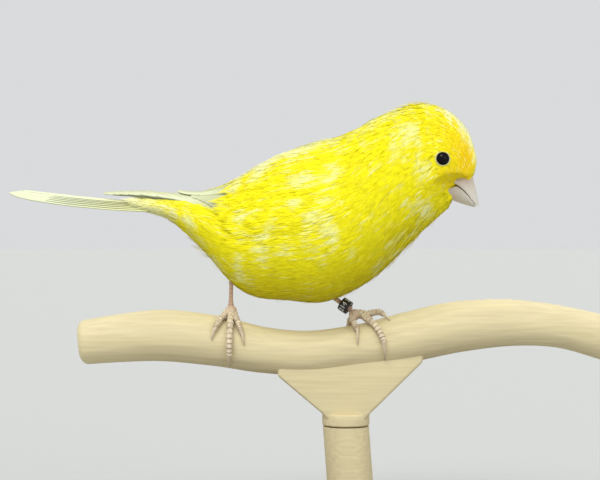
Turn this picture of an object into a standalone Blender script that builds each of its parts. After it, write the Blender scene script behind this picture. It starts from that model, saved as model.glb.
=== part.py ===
"""Still, life-size canary on a cut length of perch, which a plain display stand holds.

The bird looks towards +X and is turned a little towards -Y, the side that is seen first. Z is up,
and the origin is the middle of the stand base's underside. Named sizes are in millimetres.
"""
import math

import bmesh
import bpy
from mathutils import Matrix, Vector

MM = 0.001
GAP = 0.3
CUT_CLEARANCE = 0.35

# The bird is modelled in profile and then turned about this upright axis.
BIRD_TURN = math.radians(-10.0)
TURN_AXIS_X = -14.0

# Sections of the plumage, tail to bill: top (x, z), underside (x, z) and half the width.
BODY = (
    ("tail end", (-73.3, 96.4), (-73.3, 93.8), 3.2),
    ("tail middle", (-65.3, 96.2), (-65.9, 92.9), 3.6),
    ("tail root", (-57.1, 96.0), (-58.2, 91.2), 4.4),
    ("vent", (-48.8, 95.8), (-51.8, 89.2), 6.0),
    ("rump", (-43.0, 96.6), (-45.9, 84.9), 9.0),
    ("loin", (-36.9, 98.2), (-39.2, 78.4), 12.5),
    ("rear flank", (-30.6, 101.0), (-32.0, 70.5), 15.2),
    ("flank", (-23.7, 104.8), (-25.7, 67.2), 17.0),
    ("belly", (-16.5, 108.1), (-17.1, 66.4), 18.0),
    ("rear chest", (-9.2, 110.6), (-7.5, 65.9), 18.4),
    ("chest", (-2.9, 111.9), (1.0, 69.0), 17.8),
    ("shoulder", (2.4, 114.1), (8.0, 73.5), 16.4),
    ("rear neck", (7.2, 116.8), (14.1, 79.3), 14.4),
    ("neck", (11.9, 118.7), (19.7, 84.9), 12.6),
    ("nape", (16.9, 120.3), (23.3, 88.2), 11.3),
    ("rear crown", (21.6, 120.8), (26.1, 90.6), 10.6),
    ("crown", (26.1, 119.6), (27.7, 92.0), 10.3),
    ("brow", (30.2, 116.9), (28.2, 92.9), 9.6),
    ("forehead", (33.1, 113.2), (28.4, 93.3), 8.3),
    ("lore", (34.8, 108.7), (28.6, 93.6), 6.8),
    ("face", (35.5, 104.6), (28.9, 93.95), 5.3),
    ("bill root", (34.7, 100.4), (29.5, 94.5), 3.8),
)
BODY_ROWS = tuple((top[0], top[1], under[0], under[1], half) for _, top, under, half in BODY)
STATION = {name: float(index) for index, (name, _, _, _) in enumerate(BODY)}
BELLY_FULLNESS = 0.09

# The thin cuts between the body's nodes, as places along the sections.
VENT_CUT = STATION["vent"]
NECK_CUT = STATION["shoulder"] + 0.5
HEAD_CUT = STATION["nape"]
CUT_STEP = 0.07
WING_SIDE_STEPS = 7
BELLY_SIDE_STEPS = 6
HEAD_SIDES = 24
RING_STEP = 0.4

# Edges of the folded wing: place along the sections, and its upper and lower edge in degrees
# from the middle of the back.
WING_EDGES = (
    (0.0, 14.0, 62.0),
    (2.0, 12.0, 62.0),
    (3.0, 11.0, 60.0),
    (4.3, 11.0, 62.0),
    (5.8, 14.0, 80.0),
    (7.1, 20.0, 94.0),
    (8.0, 25.0, 102.0),
    (9.2, 34.0, 104.0),
    (10.3, 48.0, 98.0),
)
# How deep the plumage is pressed in beneath the folded wing, along the sections, and the lift of
# the wing's lowest layer there.
POCKET_DEPTHS = ((0.0, 1.5), (2.5, 1.8), (3.0, 2.2), (4.3, 2.8), (5.5, 3.0), (11.0, 3.0))
WING_FLOORS = ((0.0, 0.2), (1.0, 0.3), (2.0, 0.2), (3.0, -0.6), (4.3, -2.2), (5.5, -2.5), (11.0, -2.5))
POCKET_MARGIN = 6.0
POCKET_FRONT = 10.45
POCKET_FRONT_MARGIN = 0.4
WING_REAR = 3.1
WING_FRONT = 10.1
WING_TRIM = 7.0
WING_CORE = 1.1
WING_CORE_RINGS = 14

# Rows of wing feathers: count, root and tip of the lowest and the uppermost feather, each as the
# place along the sections and the share of the way from the wing's upper edge to its lower one,
# then width, the layers of the lowest and the uppermost, and how the tips bunch together.
WING_ROWS = {
    "primary": (6, (7.0, 0.90), (6.8, 0.62), (0.42, 0.66), (2.6, 0.34), 4.4, 0.0, 4.4, 1.7),
    "secondary": (5, (8.5, 0.90), (8.3, 0.46), (5.9, 0.88), (4.1, 0.50), 4.9, 2.2, 5.6, 1.0),
    "tertial": (3, (8.2, 0.42), (8.0, 0.15), (4.5, 0.42), (3.0, 0.30), 5.6, 6.2, 7.6, 1.0),
    "greater covert": (6, (9.3, 0.89), (9.1, 0.20), (7.3, 0.88), (6.7, 0.24), 5.6, 6.0, 8.6, 1.0),
    "median covert": (5, (9.98, 0.86), (9.9, 0.24), (8.5, 0.86), (8.0, 0.20), 5.9, 8.4, 10.2, 1.0),
}
VANE_THICKNESS = 0.7
LAYER_STEP = 0.25
SUNK_LAYER = 2.6
VANE_WIDEST_TURN = 25.0
VANE_TILT = 0.12
VANE_BRIM = 6.0
RISE_SPEED = 1.6
LONG_VANE = ((0.0, 0.7), (0.2, 0.9), (0.42, 1.0), (0.63, 1.0), (0.84, 0.85), (0.96, 0.5), (1.0, 0.18))
SHORT_VANE = ((0.0, 0.75), (0.5, 1.0), (0.86, 0.8), (1.0, 0.3))

TAIL_PAIRS = 6
TAIL_ROOT_X = -54.0
TAIL_MIDDLE_TIP_X = -94.0
TAIL_FORK = 3.2
TAIL_ROOT_Z = 93.6
TAIL_TIP_Z = 97.3
TAIL_ROOT_SPREAD = (0.9, 2.45)
TAIL_TIP_SPREAD = (1.2, 4.7)
TAIL_ROOT_DROP = 2.5
TAIL_TIP_DROP = 1.4
TAIL_WIDTH = 4.4
TAIL_ROLL = math.radians(9.0)
TAIL_SAG = 1.4
TAIL_HALF_THICKNESS = (0.42, 0.30)
TAIL_VANE = ((0.0, 0.5), (0.3, 0.85), (0.62, 1.0), (0.86, 0.86), (0.97, 0.5), (1.0, 0.16))
TAIL_INSET = 1.3
TAIL_INSET_UNDER = 0.25
TAIL_CORE_START = VENT_CUT - CUT_STEP
TAIL_CORE_END = 1.0
TAIL_CORE_RINGS = 7
TAIL_CORE_SIDES = 16
TAIL_CORE_TAPER = 0.45
UNDER_COVERTS = 7
UNDER_COVERT_FAN = 66.0
UNDER_COVERT_REACH = 17.0
UNDER_COVERT_THICKNESS = 0.9
UNDER_COVERT_LENGTH = 1.75
UNDER_COVERT_STAGGER = 0.8

EYE_PLACE = (27.2, 105.1)
EYE_RADIUS = 2.1
EYE_SUNK = 1.15
LID_RADIUS = 2.3
LID_THICKNESS = 0.36
LID_STEPS = 16

# Sections of the two halves of the bill: ridge (x, z), cutting edge (x, z), half the width.
BILL_UPPER = (
    ((34.3, 101.3), (28.1, 99.2), 3.7),
    ((34.7, 99.8), (29.8, 98.6), 3.6),
    ((35.2, 97.9), (31.3, 97.6), 3.2),
    ((35.6, 96.0), (32.8, 96.2), 2.5),
    ((36.0, 94.0), (34.2, 94.3), 1.6),
    ((36.3, 92.4), (35.6, 92.6), 0.6),
)
BILL_LOWER = (
    ((27.8, 94.8), (27.3, 96.9), 3.4),
    ((28.9, 94.2), (28.8, 97.4), 3.35),
    ((30.6, 93.5), (30.4, 97.85), 3.05),
    ((32.2, 93.0), (31.95, 96.6), 2.45),
    ((33.8, 92.5), (33.6, 94.55), 1.6),
    ((35.1, 92.2), (35.1, 92.65), 0.65),
)
NOSTRIL_PLACE = (33.6, 99.5)
NOSTRIL_SIDE = 2.15
NOSTRIL_RADIUS = 0.42
BILL_RINGS = 9
FACE_CLEARANCE = 0.2

# The perch bar: places along it as (x, z of its middle, radius).
PERCH = (
    (-75.3, 54.4, 6.1),
    (-62.0, 55.9, 6.8),
    (-51.0, 56.4, 7.2),
    (-36.7, 54.9, 7.0),
    (-24.0, 52.4, 6.4),
    (-11.0, 51.6, 6.2),
    (4.0, 53.5, 6.3),
    (16.0, 55.9, 7.0),
    (30.0, 58.8, 7.05),
    (45.0, 60.0, 6.5),
    (59.0, 58.9, 5.85),
    (73.5, 55.4, 6.3),
)
PERCH_STEPS = 26
PERCH_END_ROUND = 1.8
PERCH_SIDE_STEPS = 5

WEB_TOP_LEFT = (-19.9, 45.4)
WEB_TOP_RIGHT = (20.4, 49.3)
WEB_BOTTOM_Z = 31.4
WEB_THICKNESS = 9.0
COLLAR_HEIGHT = 3.4
WEB_FOOT = 4.6
WEB_FOOT_Z = WEB_BOTTOM_Z + 1.0
COLLAR_RADIUS = 6.6
STEM_RADIUS = 6.45
ROUND_STEPS = 32
STEM_TOP_X = -0.85
STEM_FOOT_X = 0.85

BASE_SIZE = (104.0, 72.0, 8.0)
BASE_CORNER = 7.0
BASE_EDGE = 1.2

# Each toe: (x, degrees round the bar, clear of its skin, radius), the last stretch being the claw.
TOES = {
    "foot_right": {
        "pad": (-33.0, -0.8, 63.4),
        "middle": ((-33.0, 4, 2.0, 1.1), (-33.0, 42, 1.3, 0.98), (-33.1, 80, 1.15, 0.92),
                   (-33.2, 110, 1.05, 0.78), (-33.3, 118, 1.0, 0.5), (-33.3, 150, 0.45, 0.13)),
        "outer": ((-33.8, 4, 2.0, 1.0), (-35.1, 26, 1.3, 0.9), (-36.5, 50, 1.15, 0.82),
                  (-37.2, 62, 1.0, 0.7), (-37.5, 68, 0.95, 0.46), (-38.1, 86, 0.4, 0.13)),
        "inner": ((-32.2, 4, 2.0, 1.0), (-31.4, 24, 1.3, 0.9), (-30.4, 46, 1.15, 0.82),
                  (-29.8, 58, 1.0, 0.7), (-29.6, 63, 0.95, 0.46), (-29.1, 84, 0.4, 0.13)),
        "hind": ((-33.0, 4, 2.2, 1.15), (-33.1, -30, 1.35, 1.05), (-33.2, -62, 1.2, 0.98),
                 (-33.2, -78, 1.1, 0.8), (-33.2, -85, 1.05, 0.52), (-33.1, -128, 0.45, 0.13)),
    },
    "foot_left": {
        "pad": (1.6, -0.4, 62.3),
        "middle": ((2.0, 0, 3.3, 1.1), (4.9, 20, 1.9, 1.0), (7.7, 54, 1.2, 0.95),
                   (9.2, 82, 1.1, 0.82), (9.4, 92, 1.05, 0.52), (9.9, 134, 0.45, 0.13)),
        "outer": ((2.2, 0, 3.4, 1.0), (5.4, 8, 2.5, 0.92), (8.0, 10, 2.5, 0.86),
                  (9.6, 16, 1.6, 0.72), (10.0, 19, 1.3, 0.48), (11.3, 34, 0.4, 0.13)),
        "inner": ((1.3, 0, 3.2, 1.0), (1.0, 18, 2.2, 0.92), (1.7, 36, 1.3, 0.82),
                  (2.1, 46, 1.1, 0.68), (2.2, 52, 1.0, 0.46), (2.2, 82, 0.4, 0.13)),
        "hind": ((1.5, -4, 3.2, 1.15), (0.6, -30, 1.8, 1.05), (0.0, -58, 1.3, 0.98),
                 (-0.2, -76, 1.15, 0.8), (-0.2, -83, 1.1, 0.52), (0.0, -126, 0.45, 0.13)),
    },
}
TOE_SIDES = 8
TOE_SCUTES = 6
TOE_CLAW_ROW = 3
CLAW_RINGS = 4
CLAW_TIP_RADIUS = 0.12
SCUTE_RISE = 0.16
SCUTE_EDGE = 0.04
PAD_RADIUS = 1.75
PAD_SHAPE = (0.95, 1.0, 0.9)

# Each shank's middle line, from the foot's pad up into the belly, and its radius there.
SHANKS = {
    "leg_right": (((-33.0, -0.9, 64.9), 0.82), ((-33.0, -1.2, 66.6), 0.6), ((-32.9, -1.9, 70.0), 0.56),
                  ((-32.7, -2.8, 74.5), 0.8), ((-32.4, -3.6, 78.5), 1.2)),
    "leg_left": (((0.6, 0.3, 63.7), 0.8), ((-1.2, 0.9, 64.9), 0.64), ((-3.6, 1.8, 66.6), 0.68),
                 ((-6.6, 3.0, 69.2), 0.85), ((-9.6, 4.2, 72.2), 1.2)),
}
SHANK_SIDES = 10
SHANK_SCUTES = 9
RING_OUTER = 1.95
RING_INNER = 1.12
RING_LENGTH = 2.7
RING_START = 0.62

COLOURS = {
    "plumage": ((0.90, 0.78, 0.05), 0.75),
    "pale plumage": ((0.86, 0.86, 0.62), 0.7),
    "eye": ((0.01, 0.01, 0.012), 0.08),
    "horn": ((0.80, 0.68, 0.62), 0.4),
    "leg skin": ((0.72, 0.60, 0.48), 0.55),
    "band": ((0.02, 0.02, 0.025), 0.35),
    "perch wood": ((0.75, 0.62, 0.42), 0.6),
    "stand wood": ((0.22, 0.12, 0.07), 0.45),
}


def spline(rows, place):
    """Read the smooth curve through rows of numbers, where whole places are the rows."""
    last = len(rows) - 1
    start = min(max(int(math.floor(place)), 0), last - 1)
    f = place - start
    here, after = rows[start], rows[start + 1]
    before = rows[start - 1] if start > 0 else [2 * a - b for a, b in zip(here, after)]
    beyond = rows[start + 2] if start + 2 <= last else [2 * b - a for a, b in zip(here, after)]
    values = []
    for a, b, c, d in zip(before, here, after, beyond):
        rise = (c - a) * f + (2 * a - 5 * b + 4 * c - d) * f * f + (3 * b - a - 3 * c + d) * f ** 3
        values.append(b + rise / 2)
    return values


def straight(rows, place):
    """Read the straight lines through rows, whose first number is their place."""
    if place <= rows[0][0]:
        return list(rows[0][1:])
    for here, after in zip(rows, rows[1:]):
        if place <= after[0]:
            f = (place - here[0]) / (after[0] - here[0])
            return [a + (b - a) * f for a, b in zip(here[1:], after[1:])]
    return list(rows[-1][1:])


def smooth_step(value):
    """Ease from 0 to 1 as value goes from 0 to 1."""
    value = min(max(value, 0.0), 1.0)
    return value * value * (3 - 2 * value)


def even(first, last, count):
    """Count evenly spaced numbers from first to last."""
    return [first + (last - first) * i / (count - 1) for i in range(count)]


def body_point(place, degrees, lift=0.0):
    """Point of the plumage surface, at an angle from the back's middle and a lift off it."""
    top_x, top_z, under_x, under_z, half = spline(BODY_ROWS, place)
    middle = Vector(((top_x + under_x) / 2, 0.0, (top_z + under_z) / 2))
    up = Vector(((top_x - under_x) / 2, 0.0, (top_z - under_z) / 2))
    tall = up.length
    up.normalize()
    a = math.radians(degrees)
    across = half * math.sin(a) * (1 - BELLY_FULLNESS * math.cos(a))
    along = tall * math.cos(a)
    normal = Vector((tall * math.sin(a), half * (math.cos(a) - BELLY_FULLNESS * math.cos(2 * a))))
    normal.normalize()
    across += lift * normal.x
    along += lift * normal.y
    return middle + up * along + Vector((0.0, across, 0.0))


def pocket_depth(place, degrees):
    """Depth to which the folded wing presses the plumage in at this point."""
    top, bottom = straight(WING_EDGES, place)
    angle = abs((degrees + 180.0) % 360.0 - 180.0)
    span = 2 * POCKET_MARGIN
    upper = smooth_step((angle - top + POCKET_MARGIN) / span)
    lower = smooth_step((bottom + POCKET_MARGIN - angle) / span)
    front = smooth_step((POCKET_FRONT + POCKET_FRONT_MARGIN - place) / (2 * POCKET_FRONT_MARGIN))
    return straight(POCKET_DEPTHS, place)[0] * upper * lower * front


def ring_angles(place):
    """Angles round the trunk, with one on each brim of the pocket for the wing."""
    top, bottom = straight(WING_EDGES, place)
    brims = (top - POCKET_MARGIN, top + POCKET_MARGIN, bottom - POCKET_MARGIN, bottom + POCKET_MARGIN)
    half = [0.0, brims[0]] + even(brims[1], brims[2], WING_SIDE_STEPS)
    half += even(brims[3], 180.0, BELLY_SIDE_STEPS)
    return half + [-degrees for degrees in half[-2:0:-1]]


def body_ring(place, inflate=0.0, angles=None):
    """One ring of the plumage, pressed in beneath the wings."""
    ring = []
    for degrees in angles or ring_angles(place):
        ring.append(body_point(place, degrees, inflate - pocket_depth(place, degrees)))
    return ring


def side_place(x, z):
    """Place and angle at which the near side of the plumage has this x and z."""
    best = (1e9, 0.0, 0.0)
    span, centre_place, centre_angle = 4.0, 17.0, 90.0
    for _ in range(5):
        for i in range(-8, 9):
            for j in range(-8, 9):
                place = centre_place + span * i / 8
                degrees = centre_angle + span * 10 * j / 8
                point = body_point(place, degrees)
                best = min(best, (math.hypot(point.x - x, point.z - z), place, degrees))
        centre_place, centre_angle = best[1], best[2]
        span /= 4
    return best[1], best[2]


def surface_normal(place, degrees):
    """Outward direction of the plumage surface."""
    step = 0.02
    ahead = body_point(place + step, degrees) - body_point(place - step, degrees)
    around = body_point(place, degrees + step) - body_point(place, degrees - step)
    normal = around.cross(ahead).normalized()
    middle = (body_point(place, 0.0) + body_point(place, 180.0)) / 2
    return normal if normal.dot(body_point(place, degrees) - middle) > 0 else -normal


def add_object(name, mesh, collection, parent=None):
    """Link a mesh as an object under its collection and parent."""
    thing = bpy.data.objects.new(name, mesh)
    collection.objects.link(thing)
    thing.parent = parent
    return thing


def mesh_from(name, shape):
    """Turn a bmesh in millimetres into a mesh in metres, with its faces pointing out."""
    bmesh.ops.recalc_face_normals(shape, faces=shape.faces)
    shape.transform(Matrix.Scale(MM, 4))
    mesh = bpy.data.meshes.new(name)
    shape.to_mesh(mesh)
    shape.free()
    return mesh


def loft(name, rings):
    """Closed mesh through rings with equal counts of points."""
    shape = bmesh.new()
    loops = [[shape.verts.new(point) for point in ring] for ring in rings]
    count = len(loops[0])
    for near, far in zip(loops, loops[1:]):
        for i in range(count):
            j = (i + 1) % count
            shape.faces.new((near[i], near[j], far[j], far[i]))
    shape.faces.new(loops[0])
    shape.faces.new(loops[-1])
    return mesh_from(name, shape)


def tube_rings(points, radii, sides):
    """Rings square to a path, each turned as little as possible from the ring before."""
    rings = []
    side = Vector((0.0, 0.0, 1.0))
    for index, (point, radius) in enumerate(zip(points, radii)):
        before = points[max(index - 1, 0)]
        after = points[min(index + 1, len(points) - 1)]
        ahead = (after - before).normalized()
        side = side - ahead * side.dot(ahead)
        if side.length < 1e-4:
            side = ahead.orthogonal()
        side.normalize()
        other = ahead.cross(side)
        turns = [2 * math.pi * k / sides for k in range(sides)]
        rings.append([point + (side * math.cos(a) + other * math.sin(a)) * radius for a in turns])
    return rings


def ball(name, radius, place, segments=16, rings=10, stretch=(1.0, 1.0, 1.0)):
    """Sphere or ellipsoid mesh about a place."""
    shape = bmesh.new()
    bmesh.ops.create_uvsphere(shape, u_segments=segments, v_segments=rings, radius=radius)
    bmesh.ops.scale(shape, vec=Vector(stretch), verts=shape.verts)
    bmesh.ops.translate(shape, vec=Vector(place), verts=shape.verts)
    return mesh_from(name, shape)


def apply_modifiers(thing):
    """Give an object its evaluated mesh and drop its modifiers."""
    depsgraph = bpy.context.evaluated_depsgraph_get()
    mesh = bpy.data.meshes.new_from_object(thing.evaluated_get(depsgraph))
    thing.modifiers.clear()
    thing.data = mesh


def keep_largest(thing):
    """Keep only the closed surface with the widest spread."""
    shape = bmesh.new()
    shape.from_mesh(thing.data)
    left = set(shape.faces)
    groups = []
    while left:
        seed = left.pop()
        group, stack = {seed}, [seed]
        while stack:
            for edge in stack.pop().edges:
                for face in edge.link_faces:
                    if face in left:
                        left.discard(face)
                        group.add(face)
                        stack.append(face)
        groups.append(group)

    def spread(group):
        xs, ys, zs = zip(*(face.calc_center_median() for face in group))
        return (max(xs) - min(xs)) + (max(ys) - min(ys)) + (max(zs) - min(zs))

    largest = max(groups, key=spread)
    loose = [face for face in shape.faces if face not in largest]
    bmesh.ops.delete(shape, geom=loose, context="FACES")
    shape.to_mesh(thing.data)
    shape.free()


def join(thing, meshes, cutters):
    """Unite closed meshes with an object by one Boolean union, and keep one closed surface."""
    group = bpy.data.collections.new(thing.name + "_pieces")
    cutters.children.link(group)
    for mesh in meshes:
        piece = add_object(mesh.name, mesh, group, thing.parent)
        hide_helper(piece)
    union = thing.modifiers.new("union", "BOOLEAN")
    union.operation = "UNION"
    union.operand_type = "COLLECTION"
    union.collection = group
    union.solver = "EXACT"
    apply_modifiers(thing)
    for piece in list(group.objects):
        bpy.data.objects.remove(piece)
    bpy.data.collections.remove(group)
    keep_largest(thing)


def cut(thing, mesh, cutters, parent=None):
    """Cut a closed mesh out of an object, and keep one closed surface."""
    cutter = add_object(thing.name + "_cutter", mesh, cutters, parent)
    hide_helper(cutter)
    difference = thing.modifiers.new("cut", "BOOLEAN")
    difference.operation = "DIFFERENCE"
    difference.object = cutter
    difference.solver = "EXACT"
    apply_modifiers(thing)
    bpy.data.objects.remove(cutter)
    keep_largest(thing)


def hide_helper(thing):
    """Mark an object as a helper that isn't part of the model."""
    thing.hide_render = True
    thing.display_type = "WIRE"


def materials():
    """One Principled material for each colour."""
    made = {}
    for name, (colour, roughness) in COLOURS.items():
        material = bpy.data.materials.new(name)
        material.use_nodes = True
        shader = material.node_tree.nodes["Principled BSDF"]
        shader.inputs["Base Color"].default_value = (*colour, 1.0)
        shader.inputs["Roughness"].default_value = roughness
        shader.inputs["Metallic"].default_value = 0.0
        made[name] = material
    return made


def dress(thing, material, sharp_degrees=35.0):
    """Give an object its material and smooth shading with sharp edges."""
    thing.data.materials.clear()
    thing.data.materials.append(material)
    thing.data.shade_smooth()
    thing.data.set_sharp_from_angle(angle=math.radians(sharp_degrees))


def body_mesh(name, first, last, inflate=0.0):
    """Closed loft of the trunk or neck between two places along the sections."""
    count = max(int(round((last - first) / RING_STEP)) + 1, 3)
    return loft(name, [body_ring(place, inflate) for place in even(first, last, count)])


def head_mesh(name, first, inflate=0.0, beyond=0.0):
    """Closed loft of the head from a place along the sections to the root of the bill."""
    last = STATION["bill root"] + beyond
    count = int(round((last - first) / RING_STEP)) + 1
    angles = [360.0 * index / HEAD_SIDES for index in range(HEAD_SIDES)]
    return loft(name, [body_ring(place, inflate, angles) for place in even(first, last, count)])


def build_torso(collection, bird):
    """The trunk from the vent to the shoulders."""
    mesh = body_mesh("torso", VENT_CUT, NECK_CUT)
    return add_object("torso", mesh, collection, bird)


def build_neck(collection, bird):
    """The neck between its two thin cuts."""
    mesh = body_mesh("neck", NECK_CUT + CUT_STEP, HEAD_CUT)
    return add_object("neck", mesh, collection, bird)


def eye_frame(side):
    """Place on the face and outward direction of an eye."""
    place, degrees = side_place(*EYE_PLACE)
    return body_point(place, side * degrees), surface_normal(place, side * degrees)


def build_head(collection, bird, cutters):
    """The head with the lids raised round its two eye sockets."""
    head = add_object("head", head_mesh("head", HEAD_CUT + CUT_STEP), collection, bird)
    lids = []
    for side in (-1, 1):
        point, outward = eye_frame(side)
        turn = outward.to_track_quat("Z", "Y").to_matrix()
        steps = [2 * math.pi * k / LID_STEPS for k in range(LID_STEPS)]
        ring = [point + turn @ Vector((math.cos(a), math.sin(a), 0.0)) * LID_RADIUS for a in steps]
        lids.append(closed_tube("lid", ring, LID_THICKNESS, 5))
    join(head, lids, cutters)
    for side in (-1, 1):
        point, outward = eye_frame(side)
        socket = ball("socket", EYE_RADIUS + GAP, point - outward * EYE_SUNK, 16, 8)
        cut(head, socket, cutters, bird)
    return head


def closed_tube(name, points, radius, sides):
    """Closed ring of a tube through points that come round to the start."""
    shape = bmesh.new()
    count = len(points)
    middle = sum(points, Vector()) / count
    normal = (points[0] - middle).cross(points[count // 4] - middle).normalized()
    loops = []
    for point in points:
        out = (point - middle).normalized()
        turns = [2 * math.pi * k / sides for k in range(sides)]
        loop = [point + (out * math.cos(a) + normal * math.sin(a)) * radius for a in turns]
        loops.append([shape.verts.new(corner) for corner in loop])
    for i, near in enumerate(loops):
        far = loops[(i + 1) % count]
        for k in range(sides):
            m = (k + 1) % sides
            shape.faces.new((near[k], near[m], far[m], far[k]))
    return mesh_from(name, shape)


def build_eyes(collection, bird):
    """The two eyeballs, sunk in their sockets."""
    eyes = []
    for name, side in (("eye_right", -1), ("eye_left", 1)):
        point, outward = eye_frame(side)
        mesh = ball(name, EYE_RADIUS, point - outward * EYE_SUNK, 14, 9)
        eyes.append(add_object(name, mesh, collection, bird))
    return eyes


def bill_rings(rows, count, fullness):
    """Rings of half a bill: rounded at the ridge, flat across at the cutting edge."""
    flat_rows = [(ridge[0], ridge[1], edge[0], edge[1], half) for ridge, edge, half in rows]
    rings = []
    for place in even(0.0, len(rows) - 1.0, count):
        ridge_x, ridge_z, edge_x, edge_z, half = spline(flat_rows, place)
        ridge = Vector((ridge_x, 0.0, ridge_z))
        edge = Vector((edge_x, 0.0, edge_z))
        side = []
        for f in (0.04, 0.25, 0.55, 0.85, 1.0):
            across = half * math.sin(math.pi / 2 * f) ** fullness
            side.append(ridge.lerp(edge, f) + Vector((0.0, across, 0.0)))
        other = [Vector((point.x, -point.y, point.z)) for point in reversed(side)]
        rings.append([ridge] + side + other)
    return rings


def build_bill(collection, bird, cutters):
    """The upper and lower halves of the bill, which meet the face."""
    pieces = []
    for name, rows, fullness in (("bill_upper", BILL_UPPER, 0.8), ("bill_lower", BILL_LOWER, 0.7)):
        piece = add_object(name, loft(name, bill_rings(rows, BILL_RINGS, fullness)), collection, bird)
        face = head_mesh("face", HEAD_CUT, CUT_CLEARANCE, FACE_CLEARANCE)
        cut(piece, face, cutters, bird)
        pieces.append(piece)
    upper = pieces[0]
    for side in (-1, 1):
        place = (NOSTRIL_PLACE[0], side * NOSTRIL_SIDE, NOSTRIL_PLACE[1])
        nostril = ball("nostril", NOSTRIL_RADIUS, place, 8, 6)
        cut(upper, nostril, cutters, bird)
    return pieces


def wing_point(side, place, share, lift):
    """Point on a folded wing: share runs from its upper edge to its lower one."""
    top, bottom = straight(WING_EDGES, place)
    return body_point(place, side * (top + (bottom - top) * share), lift)


def wing_core(name, side):
    """Closed shell that carries a folded wing's feathers, on the pocket's floor."""
    rings = []
    for place in even(WING_REAR, WING_FRONT, WING_CORE_RINGS):
        top, bottom = straight(WING_EDGES, place)
        floor = straight(WING_FLOORS, place)[0]
        angles = even(top + WING_TRIM, bottom - WING_TRIM, 6)
        outer = [body_point(place, side * angle, floor + WING_CORE) for angle in angles]
        inner = [body_point(place, side * angle, floor) for angle in angles]
        rings.append(outer + inner[::-1])
    return loft(name, rings)


def wing_vane(name, side, root, tip, width, layer, profile):
    """One feather of the wing, risen from the core towards its layer at the tip."""
    rings = []
    for f, share_of_width in profile:
        place = root[0] + (tip[0] - root[0]) * f
        share = root[1] + (tip[1] - root[1]) * f
        top, bottom = straight(WING_EDGES, place)
        middle = top + (bottom - top) * share
        arc = (body_point(place, middle + 1.0) - body_point(place, middle - 1.0)).length / 2
        reach = min(width / 2 * share_of_width / arc, VANE_WIDEST_TURN)
        low = max(middle - reach, top + VANE_BRIM)
        high = min(middle + reach, bottom - VANE_BRIM)
        here = min(layer, SUNK_LAYER) + max(layer - SUNK_LAYER, 0.0) * smooth_step(f * RISE_SPEED)
        floor = straight(WING_FLOORS, place)[0] + here * LAYER_STEP
        roof = floor + VANE_THICKNESS
        rings.append([body_point(place, side * low, roof - VANE_TILT),
                      body_point(place, side * high, roof),
                      body_point(place, side * high, floor),
                      body_point(place, side * low, floor - VANE_TILT)])
    return vane_mesh(name, rings)


def vane_mesh(name, rings):
    """Closed vane through rings of four corners, split alike on its two faces."""
    shape = bmesh.new()
    loops = [[shape.verts.new(point) for point in ring] for ring in rings]
    for near, far in zip(loops, loops[1:]):
        (a, b, c, d), (e, f, g, h) = near, far
        for corners in ((a, b, f), (a, f, e), (c, d, g), (d, h, g), (b, c, g), (b, g, f), (d, a, e),
                        (d, e, h)):
            shape.faces.new(corners)
    shape.faces.new(loops[0])
    shape.faces.new(loops[-1])
    return mesh_from(name, shape)


def build_wings(collection, bird, cutters):
    """The two folded wings: rows of feathers on a core, out to the tips over the tail."""
    wings = []
    for name, side in (("wing_right", -1), ("wing_left", 1)):
        wing = add_object(name, wing_core(name, side), collection, bird)
        vanes = []
        for row, values in WING_ROWS.items():
            count, root_a, root_b, tip_a, tip_b, width, layer_a, layer_b, bunch = values
            profile = SHORT_VANE if "covert" in row else LONG_VANE
            for index in range(count):
                f = index / (count - 1)
                root = [a + (b - a) * f for a, b in zip(root_a, root_b)]
                tip = [tip_a[0] + (tip_b[0] - tip_a[0]) * f ** bunch, tip_a[1] + (tip_b[1] - tip_a[1]) * f]
                layer = layer_a + (layer_b - layer_a) * f
                vanes.append(wing_vane(row, side, root, tip, width, layer, profile))
        join(wing, vanes, cutters)
        wings.append(wing)
    return wings


def tail_feather(side, order):
    """One tail feather; order runs from the middle pair outwards."""
    f = order / (TAIL_PAIRS - 1)
    root = Vector((TAIL_ROOT_X, TAIL_ROOT_SPREAD[0] + (TAIL_ROOT_SPREAD[1] - TAIL_ROOT_SPREAD[0]) * f,
                   TAIL_ROOT_Z - TAIL_ROOT_DROP * f))
    tip = Vector((TAIL_MIDDLE_TIP_X - TAIL_FORK * f ** 0.7,
                  TAIL_TIP_SPREAD[0] + (TAIL_TIP_SPREAD[1] - TAIL_TIP_SPREAD[0]) * f,
                  TAIL_TIP_Z - TAIL_TIP_DROP * f))
    out = Vector((0.0, math.cos(TAIL_ROLL), -math.sin(TAIL_ROLL)))
    up = Vector((0.0, math.sin(TAIL_ROLL), math.cos(TAIL_ROLL)))
    rings = []
    for t, share in TAIL_VANE:
        middle = root.lerp(tip, t)
        middle.z = root.z + (tip.z - root.z) * t ** TAIL_SAG
        across = out * TAIL_WIDTH / 2 * share
        thick = up * (TAIL_HALF_THICKNESS[0] + (TAIL_HALF_THICKNESS[1] - TAIL_HALF_THICKNESS[0]) * t)
        corners = (middle - across + thick, middle + across + thick, middle + across - thick,
                   middle - across - thick)
        rings.append([Vector((corner.x, corner.y * side, corner.z)) for corner in corners])
    return vane_mesh("rectrix", rings)


def under_covert(offset):
    """One feather under the root of the tail, at an angle from the middle of the underside."""
    edge = abs(offset) / UNDER_COVERT_FAN
    rings = []
    for f, share in SHORT_VANE:
        place = TAIL_CORE_START - (UNDER_COVERT_LENGTH - UNDER_COVERT_STAGGER * edge) * f
        lift = 0.1 - 0.5 * edge + 0.7 * f * (1.0 - edge)
        low = 180.0 + offset - UNDER_COVERT_REACH * share
        high = 180.0 + offset + UNDER_COVERT_REACH * share
        inner = lift - UNDER_COVERT_THICKNESS
        rings.append([body_point(place, low, lift), body_point(place, high, lift),
                      body_point(place, high, inner), body_point(place, low, inner)])
    return vane_mesh("under covert", rings)


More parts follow.
